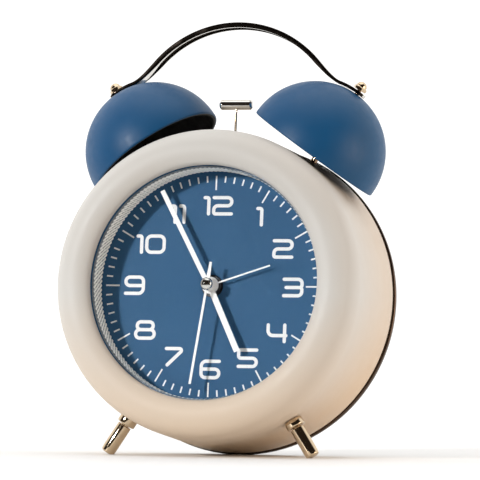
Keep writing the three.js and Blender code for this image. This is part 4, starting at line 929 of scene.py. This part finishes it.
def bell_shape():
    """The bell's wall as a closed section, and how many of its faces' rings are outside."""
    hole = STUD_RADIUS + SEAT
    inner = BELL_RADIUS - BELL_WALL
    start = math.degrees(math.acos(hole / BELL_RADIUS))
    outside = arc(0, BELL_SKIRT, BELL_RADIUS, start, 0, 40)
    rim = rounded([
        (BELL_RADIUS, BELL_SKIRT, 0), (BELL_RADIUS, 0, BELL_LIP), (inner - BELL_LIP, 0, 0.35),
        (inner, BELL_SKIRT, 0),
    ])
    inside = arc(0, BELL_SKIRT, inner, 0, math.degrees(math.acos(hole / inner)), 32)
    profile = distinct([*outside, *rim[1:-1], *inside], True)
    painted = len(outside) + 6
    return profile, painted


def bells():
    profile, painted = bell_shape()
    for name, side in (("left", -1), ("right", 1)):
        place = tilted(side, BELL_TILT, *BELL_CENTRE)
        mesh = mesh_of("bell", upright(lathe(profile, ROUND, closed=True)), place)
        rows = [face.index // ROUND for face in mesh.polygons]
        # faces inside the bell take the near-black painted shade
        shaded_inside = [int(painted <= row < len(profile) - 1) for row in rows]
        mesh.polygons.foreach_set("material_index", shaded_inside)
        paints = [PAINTS["bell_blue"], BELL_PAINTED_SHADE]
        piece(f"dome_{name}", mesh, "case", paints, [f"bell_{name}"])


def apex():
    reach = BELL_SKIRT + BELL_RADIUS
    x = BELL_CENTRE[0] + reach * math.sin(math.radians(BELL_TILT))
    z = BELL_CENTRE[2] + reach * math.cos(math.radians(BELL_TILT))
    return math.hypot(x, z), math.degrees(math.atan2(x, z))


def posts():
    reach, angle = apex()
    shoulder = reach - BELL_WALL - 2 * SEAT
    flange = shoulder - 1.4
    seat = reach + SEAT + STRAP_THICKNESS + SEAT
    top = seat + NUT_HEX_HEIGHT
    post = rounded([
        (0, POST_FOOT, 0), (POST_RADIUS, POST_FOOT, 0.2), (POST_RADIUS, flange, 0.15),
        (POST_FLANGE, flange, 0.3), (POST_FLANGE, shoulder, 0.3), (STUD_RADIUS, shoulder, 0.1),
        (STUD_RADIUS, top, 0.2), (0, top, 0),
    ])
    for name, side in (("left", -1), ("right", 1)):
        place = tilted(side, angle, 0, BELL_CENTRE[1], 0)
        mesh = mesh_of("post", upright(lathe(post, 48)), place)
        piece(f"post_{name}", mesh, "case", DARK_CHROME, [f"bell_post_{name}"])
        nut = mesh_of("nut", nut_shape(seat), place)
        # the nut takes the chrome with the painted warm reflection
        piece(f"acorn_nut_{name}", nut, "case", CHROME_PAINTED_WARM_REFLECTION, [f"bell_nut_{name}"], 0.12)


def nut_shape(seat):
    """An acorn nut: a hexagon with turned corners under a dome."""
    top = seat + NUT_HEX_HEIGHT
    hexagon = NUT_RADIUS / math.cos(math.pi / 6)
    facets = 96
    bore = STUD_RADIUS + 0.05
    crown = NUT_RADIUS * 0.9
    profile = [
        (bore, seat), (NUT_RADIUS, seat), (hexagon, seat + 0.25), (hexagon, top - 0.3),
        (NUT_RADIUS * 0.93, top), *arc(0, top - 0.1, crown, 6, 90, 14), (0, top - 0.1 + crown),
    ]
    verts, faces = lathe(distinct([Vector(p) for p in profile], False), facets)
    shaped = []
    for x, y, z in verts:
        radius = math.hypot(x, z)
        if radius > 0 and y < top - 0.05:
            sixth = math.pi / 3
            angle = (math.atan2(z, x) + 2 * math.pi) % sixth - sixth / 2
            limit = NUT_RADIUS / math.cos(angle)
            scale = min(1, limit / radius)
            x, z = x * scale, z * scale
        shaped.append((x, y, z))
    hollow = [(bore, seat), (bore, top - 0.4), (0, top - 0.4)]
    return upright(together((shaped, faces), lathe(hollow, facets)))


# ---- Carrying strap ----


def strap_line():
    """The middle of the strap, from the left end to the right, as (x, z)."""
    tilt = math.radians(BELL_TILT)
    middle = Vector((BELL_CENTRE[0], BELL_CENTRE[2]))
    centre = middle + BELL_SKIRT * Vector((math.sin(tilt), math.cos(tilt)))
    radius = BELL_RADIUS + SEAT + STRAP_THICKNESS / 2
    arch = arc(0, STRAP_TOP - STRAP_ARCH_RADIUS, STRAP_ARCH_RADIUS, 90, 90 - STRAP_FLANK, 40)
    leave = BELL_TILT - STRAP_LIFT
    ends = arc(centre.x, centre.y, radius, 90 - leave, 90 - BELL_TILT - STRAP_END, 20)
    reach = 4
    slopes = [math.radians(angle) for angle in (STRAP_FLANK, leave)]
    down, on = (Vector((math.cos(slope), -math.sin(slope))) for slope in slopes)
    sweep = bezier(arch[-1], arch[-1] + down * reach, ends[0] - on * reach, ends[0], 24)
    half = [*arch, *sweep[1:-1], *ends]
    return [Vector((-p.x, p.y)) for p in reversed(half[1:])] + half


def strap_section(half_width, half_thick, hem):
    """Across the strap as (depth, thickness): flat on top, with an edge rolled down at each side."""
    foot = -half_thick - hem
    inner = half_width - STRAP_HEM_WIDTH
    return rounded([
        (half_width, half_thick, STRAP_EDGE), (-half_width, half_thick, STRAP_EDGE),
        (-half_width, foot, STRAP_EDGE), (-inner, foot, 0.2), (-inner + 0.1, -half_thick + 0.05, 0.02),
        (inner - 0.1, -half_thick + 0.05, 0.02), (inner, foot, 0.2), (half_width, foot, STRAP_EDGE),
    ], True, 4)


def strap():
    """A band with rolled edges, and ends rounded off past the posts."""
    line = strap_line()
    half_width, half_thick = STRAP_WIDTH / 2, STRAP_THICKNESS / 2
    lengths = [0.0]
    for a, b in zip(line, line[1:]):
        lengths.append(lengths[-1] + (b - a).length)
    total = lengths[-1]
    rings = []
    for i, p in enumerate(line):
        before, after = line[max(i - 1, 0)], line[min(i + 1, len(line) - 1)]
        along = (after - before).normalized()
        out = Vector((-along.y, along.x))
        left = min(lengths[i], total - lengths[i])
        short = max(0.0, half_width - left)
        narrow = math.sqrt(max(half_width ** 2 - short ** 2, 0.04)) / half_width
        hem = STRAP_HEM * min(1.0, max(0.0, (left - STRAP_HEM_START) / STRAP_HEM_RUN))
        section = strap_section(half_width, half_thick, hem)
        depth = BELL_CENTRE[1]
        rings.append([(p.x + out.x * t, depth + w * narrow, p.y + out.y * t) for w, t in section])
    mesh = mesh_of("strap", ring_shape(rings, closed=False))
    inverse = CLOCK.inverted().to_3x3()
    # faces turned to the front or back take the near-black painted reflection
    for face in mesh.polygons:
        face.material_index = int(abs((inverse @ face.normal).normalized().y) > 0.35)
    paints = [PAINTS["chrome"], STRAP_PAINTED_DARK_REFLECTION]
    piece("strap", mesh, "case", paints, ["carry_handle"], crease=50)


# ---- Hammer ----


def hammer():
    low, high = span("hammer_head")
    middle = (low + high) / 2
    radius = (high.z - low.z) / 2
    half = (high.x - low.x) / 2
    head = rounded([
        (0, -half, 0), (radius - 0.75, -half, 0.2), (radius, -half + 0.75, 0.25),
        (radius, half - 0.75, 0.25), (radius - 0.75, half, 0.2), (0, half, 0),
    ])
    bar = moved(sideways(lathe(head, 72)), middle.x, middle.y, middle.z)
    piece("striker", mesh_of("striker", bar), "hammer", PAINTS["chrome"], ["hammer_head"])
    low, high = span("hammer_rod")
    thick = (high.x - low.x) / 2
    stem = rounded([(0, low.z, 0), (thick, low.z, 0.1), (thick, high.z - 1, 0), (0, high.z - 1, 0)])
    rod = moved(upright(lathe(stem, 24)), 0, middle.y, 0)
    piece("striker_rod", mesh_of("striker_rod", rod), "hammer", DARK_CHROME, ["hammer_rod"])


# ---- Hands ----


def pointer(node, body, length, width, tail, hub, bore, round_tip):
    """A flat hand with softened edges, turned to the angle that its CAD node has."""
    low, high = span(node)
    middle_line = hand_angle(node)
    half = width / 2
    meet = math.asin(half / hub)
    outline = [Vector(p) for p in rounded([
        (half, hub * math.cos(meet), 0), (half, length, round_tip), (-half, length, round_tip),
        (-half, hub * math.cos(meet), 0),
    ])]
    turn = math.degrees(meet)
    if tail > 0:
        outline += arc(0, 0, hub, 90 + turn, 270 - turn, 16)[1:-1]
        outline += [Vector((-half, -tail)), Vector((half, -tail))]
        outline += arc(0, 0, hub, 270 + turn, 450 - turn, 16)[1:-1]
    else:
        outline += arc(0, 0, hub, 90 + turn, 450 - turn, 32)[1:-1]
    place = CLOCK @ Matrix.Rotation(middle_line, 4, "Y")
    blank = mesh_of("blank", prism(outline, low.y, high.y), place)
    hole = arc(0, 0, bore, 0, 360, 24)[:-1]
    drill = mesh_of("drill", prism(hole, low.y - 1, high.y + 1), place)
    mesh = combined(blank, drill, "DIFFERENCE")
    piece(f"pointer_{node}", mesh, body, PAINTS["hand_white"], [node], soften=0.08)


def hand_angle(node):
    """How far a CAD hand is turned from straight up, about the depth axis."""
    inverse = CLOCK.inverted()
    points = [inverse @ v.co for v in frame["nodes"][node].data.vertices]
    tip = max(points, key=lambda p: math.hypot(p.x, p.z))
    far = [p for p in points if math.hypot(p.x, p.z) > math.hypot(tip.x, tip.z) - 0.3]
    middle = sum(far, Vector()) / len(far)
    return math.atan2(middle.x, middle.z)


def hands():
    for node, (body, *size) in HANDS.items():
        pointer(node, body, *size)
    low, high = span("hand_cap")
    brim = high.y - 0.5
    turns = [math.pi / 2 * i / 16 for i in range(16)]
    dome = [(high.x * math.cos(a), brim - (brim - low.y) * math.sin(a)) for a in turns]
    profile = [(0, high.y), (high.x - 0.3, high.y), (high.x, high.y - 0.25), *dome, (0, low.y)]
    cap = mesh_of("centre_cap", lathe(profile, 64))
    piece("centre_cap", cap, "second_arbor", PAINTS["chrome"], ["hand_cap"])


# ---- Back ----


def soften(node, width):
    """Rounds the moulded edges of a CAD node."""
    bevel = frame["nodes"][node].modifiers.new("soft_edges", "BEVEL")
    bevel.width = width * MM
    bevel.segments = 3
    bevel.limit_method = "ANGLE"
    bevel.angle_limit = math.radians(40)
    bevel.harden_normals = True


def ribbed(shape, radius, ribs, depth, band):
    """A turned shape with ribs cut into its widest part."""
    verts, faces = shape
    cut = []
    for x, y, z in verts:
        reach = math.hypot(x, z)
        share = max(0.0, 1 - (radius - reach) / band)
        groove = 1 - abs(math.sin(ribs / 2 * math.atan2(z, x)))
        scale = 1 - depth * share * groove / max(reach, depth)
        cut.append((x * scale, y, z * scale))
    return cut, faces


def knobs():
    """Setting knobs with finger ribs, a rounded crown and a dished end, on their shafts."""
    for node, body in (("time_knob", "time_setting"), ("alarm_knob", "alarm_setting")):
        low, high = span(node)
        middle = (low + high) / 2
        radius = (high.x - low.x) / 2
        front = span("alarm_switch")[1].y - 1.8
        shaft = shaft_radius(node, middle)
        profile = rounded([
            (0, low.y, 0), (shaft, low.y, 0.2), (shaft, front, 0.1), (radius - 2, front, 0.3),
            (radius - 2, front + 1.5, 0.2), (radius, front + 1.5, 0.4), (radius, high.y - 0.8, 1.1),
            (radius - 1.9, high.y, 0.4), (radius - 2.6, high.y - 0.7, 0.4), (0, high.y - 1.0, 0),
        ])
        turned = ribbed(lathe(profile, KNOB_RIBS * 8), radius, KNOB_RIBS, KNOB_RIB_DEPTH, KNOB_BAND)
        mesh = mesh_of(f"grip_{node}", moved(turned, middle.x, 0, middle.z))
        piece(f"grip_{node}", mesh, body, PAINTS[SLOTS[node]], [node], crease=40)


def shaft_radius(node, middle):
    """Radius of the shaft that a CAD knob stands on, ahead of the back cover."""
    inverse = CLOCK.inverted()
    places = [inverse @ v.co for v in frame["nodes"][node].data.vertices]
    ahead = span("back_cover")[0].y
    return max(math.hypot(p.x - middle.x, p.z - middle.z) for p in places if p.y < ahead)


def bar(x, z, half_x, half_z, front, rear, corner=0.3):
    """A block with rounded corners as seen from the back."""
    outline = rounded([
        (x - half_x, z - half_z, corner), (x + half_x, z - half_z, corner),
        (x + half_x, z + half_z, corner), (x - half_x, z + half_z, corner),
    ], True, 4)
    return prism(outline, front, rear)


def switch():
    """The alarm's slide switch: a ridged thumb piece, its stem through the cover and its keeper."""
    low, high = span("alarm_switch")
    middle = (low + high) / 2
    half_x, half_z = (high.x - low.x) / 2, (high.z - low.z) / 2
    cover = span("front_shell")[1].y + SEAT
    thumb = high.y - 2.4
    blocks = [
        bar(middle.x, middle.z, half_x, half_z, thumb, high.y - 0.5, 0.6),
        bar(middle.x, middle.z, 1.3, 1.3, cover - 1, thumb + 0.2),
        bar(middle.x, middle.z, half_x, half_z, low.y, low.y + 1.6),
    ]
    for step in (-1, 0, 1):
        x = middle.x + step * 1.1
        blocks.append(bar(x, middle.z, 0.28, half_z - 0.3, high.y - 0.7, high.y, 0.2))
    whole = mesh_of("thumb_piece", blocks[0])
    for block in blocks[1:]:
        whole = combined(whole, mesh_of("block", block), "UNION")
    slot = SLOTS["alarm_switch"]
    piece("thumb_piece", whole, "alarm_switch", PAINTS[slot], ["alarm_switch"], 0.12)


def door_grips():
    """Curved ridges for the thumb on the battery door, below its latch."""
    high = span("battery_door")[1]
    shapes = []
    for rib in range(GRIP_RIBS):
        top = high.z - 8 - rib * GRIP_PITCH
        half = GRIP_HALF - rib * 1.2
        upper = [Vector((x * half / 8, top + 0.5 - (x / 8) ** 2 * 1.2)) for x in range(-8, 9)]
        lower = [Vector((p.x, p.y - 0.7)) for p in reversed(upper)]
        shapes.append(prism(upper + lower, high.y - 0.2, high.y + 0.35))
    slot = SLOTS["battery_door"]
    ridges = mesh_of("door_grips", together(*shapes))
    piece("door_grips", ridges, "battery_door", PAINTS[slot], soften=0.1)


def cover_relief():
    """Moulded arrows on the cover that show which way each knob turns."""
    rear = span("back_cover")[1].y
    levels = (rear - 0.2, rear + 0.25)
    shapes = []
    for node, start, end in (("time_knob", 150, 60), ("alarm_knob", 30, 120)):
        low, high = span(node)
        x, radius = (low.x + high.x) / 2, (high.x - low.x) / 2
        outer, inner = radius + 1.9, radius + 1.1
        band = arc(0, 0, outer, start, end, 20) + arc(0, 0, inner, end, start, 20)
        before = end + math.copysign(14, start - end)
        foot, tip = arc(0, 0, (outer + inner) / 2, before, end, 1)
        along = (foot - tip).normalized()
        side = Vector((-along.y, along.x)) * 1.4
        shapes += [moved(prism(band, *levels), x), moved(prism([tip + side, foot, tip - side], *levels), x)]
    slot = SLOTS["back_cover"]
    relief = mesh_of("cover_relief", together(*shapes))
    piece("cover_relief", relief, "case", PAINTS[slot], soften=0.08)


def cells():
    """Both cells: a jacket rolled over at each end, and a raised pip at the positive one."""
    for node in ("battery_upper", "battery_lower"):
        low, high = span(node)
        middle = (low + high) / 2
        radius = (high.z - low.z) / 2
        shoulder = high.x - CELL_TIP_LENGTH
        profile = rounded([
            (0, low.x + 0.2, 0), (radius - 2.2, low.x + 0.2, 0.2), (radius - 1.9, low.x, 0.2),
            (radius, low.x, 0.9), (radius, shoulder, 0.9), (radius - 1.9, shoulder, 0.2),
            (radius - 2.2, shoulder - 0.2, 0.1), (CELL_TIP_RADIUS, shoulder - 0.2, 0.2),
            (CELL_TIP_RADIUS, high.x, 0.5), (0, high.x, 0),
        ])
        mesh = mesh_of(f"jacket_{node}", moved(sideways(lathe(profile, 96)), 0, middle.y, middle.z))
        piece(f"jacket_{node}", mesh, "case", PAINTS[SLOTS[node]], [node])


def back():
    soften("back_cover", 0.3)
    soften("battery_door", 0.3)
    for screw in range(1, 5):
        soften(f"back_screw_{screw}", 0.12)
    knobs()
    switch()
    cells()
    door_grips()
    cover_relief()


# ---- Stage, light and camera ----


def floor():
    """A pale floor that melts into the white room a little way off."""
    mesh = bpy.data.meshes.new("floor")
    half = FLOOR_FADE[1]
    corners = [(-half, -half, 0), (half, -half, 0), (half, half, 0), (-half, half, 0)]
    mesh.from_pydata(corners, [], [(0, 1, 2, 3)])
    paint = Paint("pale_floor", (0.86, 0.855, 0.845), 0.6)
    worn = paint.ramp(paint.noise(120, 3), 0, 1)
    paint.colour(paint.blend(worn, (0.86, 0.855, 0.845), (0.88, 0.876, 0.868)))
    away = paint.node("ShaderNodeVectorMath", {0: paint.place}, operation="LENGTH").outputs["Value"]
    paint.links.new(paint.ramp(away, 1, 0, *FLOOR_FADE), paint.shader.inputs["Alpha"])
    mesh.materials.append(paint.material)
    obj = bpy.data.objects.new("floor", mesh)
    bpy.context.scene.collection.objects.link(obj)


def sky():
    """A white room that the clock sees as dark on the side the dial faces, as behind a photographer."""
    world = bpy.data.worlds.new("room")
    bpy.context.scene.world = world
    world.use_nodes = True
    room = Wiring(world.node_tree)
    place = room.node("ShaderNodeTexCoord").outputs["Generated"]
    front = {0: place, 1: Vector(ROOM_DARK_SIDE).normalized()}
    facing = room.node("ShaderNodeVectorMath", front, operation="DOT_PRODUCT").outputs["Value"]
    height = room.node("ShaderNodeSeparateXYZ", {0: place}).outputs["Z"]
    seen = room.node("ShaderNodeLightPath").outputs["Is Camera Ray"]
    dark = room.node("ShaderNodeMath", {0: 1, 1: seen}, operation="SUBTRACT").outputs[0]
    for source, (start, end) in ((facing, ROOM_DARK_FACING), (height, ROOM_DARK_HEIGHT)):
        edges = {"Value": source, "From Min": start, "From Max": end}
        share = room.node("ShaderNodeMapRange", edges, interpolation_type="SMOOTHSTEP").outputs[0]
        dark = room.node("ShaderNodeMath", {0: dark, 1: share}, operation="MULTIPLY").outputs[0]
    background = room.nodes["Background"]
    room.feed(background.inputs["Color"], room.blend(dark, ROOM_WHITE, ROOM_DARK))
    background.inputs["Strength"].default_value = ROOM_STRENGTH


def lamp(name, direction, distance, size, power, color):
    """A round lamp aimed at the dial."""
    towards = heading(*direction)
    data = bpy.data.lights.new(name, "AREA")
    data.shape = "DISK"
    data.size = size
    data.energy = power
    data.color = color
    obj = bpy.data.objects.new(name, data)
    obj.location = CLOCK.translation + towards * distance
    obj.rotation_mode = "QUATERNION"
    obj.rotation_quaternion = (-towards).to_track_quat("-Z", "Y")
    bpy.context.scene.collection.objects.link(obj)


def camera():
    back = heading(CAMERA_AZIMUTH, CAMERA_ELEVATION)
    right = Vector((-back.y, back.x, 0)).normalized()
    up = right.cross(-back)
    place = (back * CAMERA_DISTANCE + right * CAMERA_RIGHT + up * CAMERA_UP) * MM
    turn = Matrix((right, up, back)).transposed().to_4x4()
    data = bpy.data.cameras.new("camera")
    data.lens = CAMERA_LENS
    data.sensor_width = 36
    data.clip_start, data.clip_end = 0.05, 100
    obj = bpy.data.objects.new("camera", data)
    tip = Matrix.Rotation(math.radians(CAMERA_TIP), 4, "X")
    obj.matrix_world = Matrix.Translation(CLOCK.translation) @ tip @ Matrix.Translation(place) @ turn
    bpy.context.scene.collection.objects.link(obj)
    bpy.context.scene.camera = obj


dress_frame()
front_shell()
rear_ring()
lens()
chapter_ring()
dial()
ticks()
numerals()
feet()
bells()
posts()
strap()
hammer()
hands()
back()
floor()
sky()
for lamp_name, values in LAMPS.items():
    lamp(lamp_name, *values)
camera()
bpy.context.scene.view_settings.view_transform = "Standard"
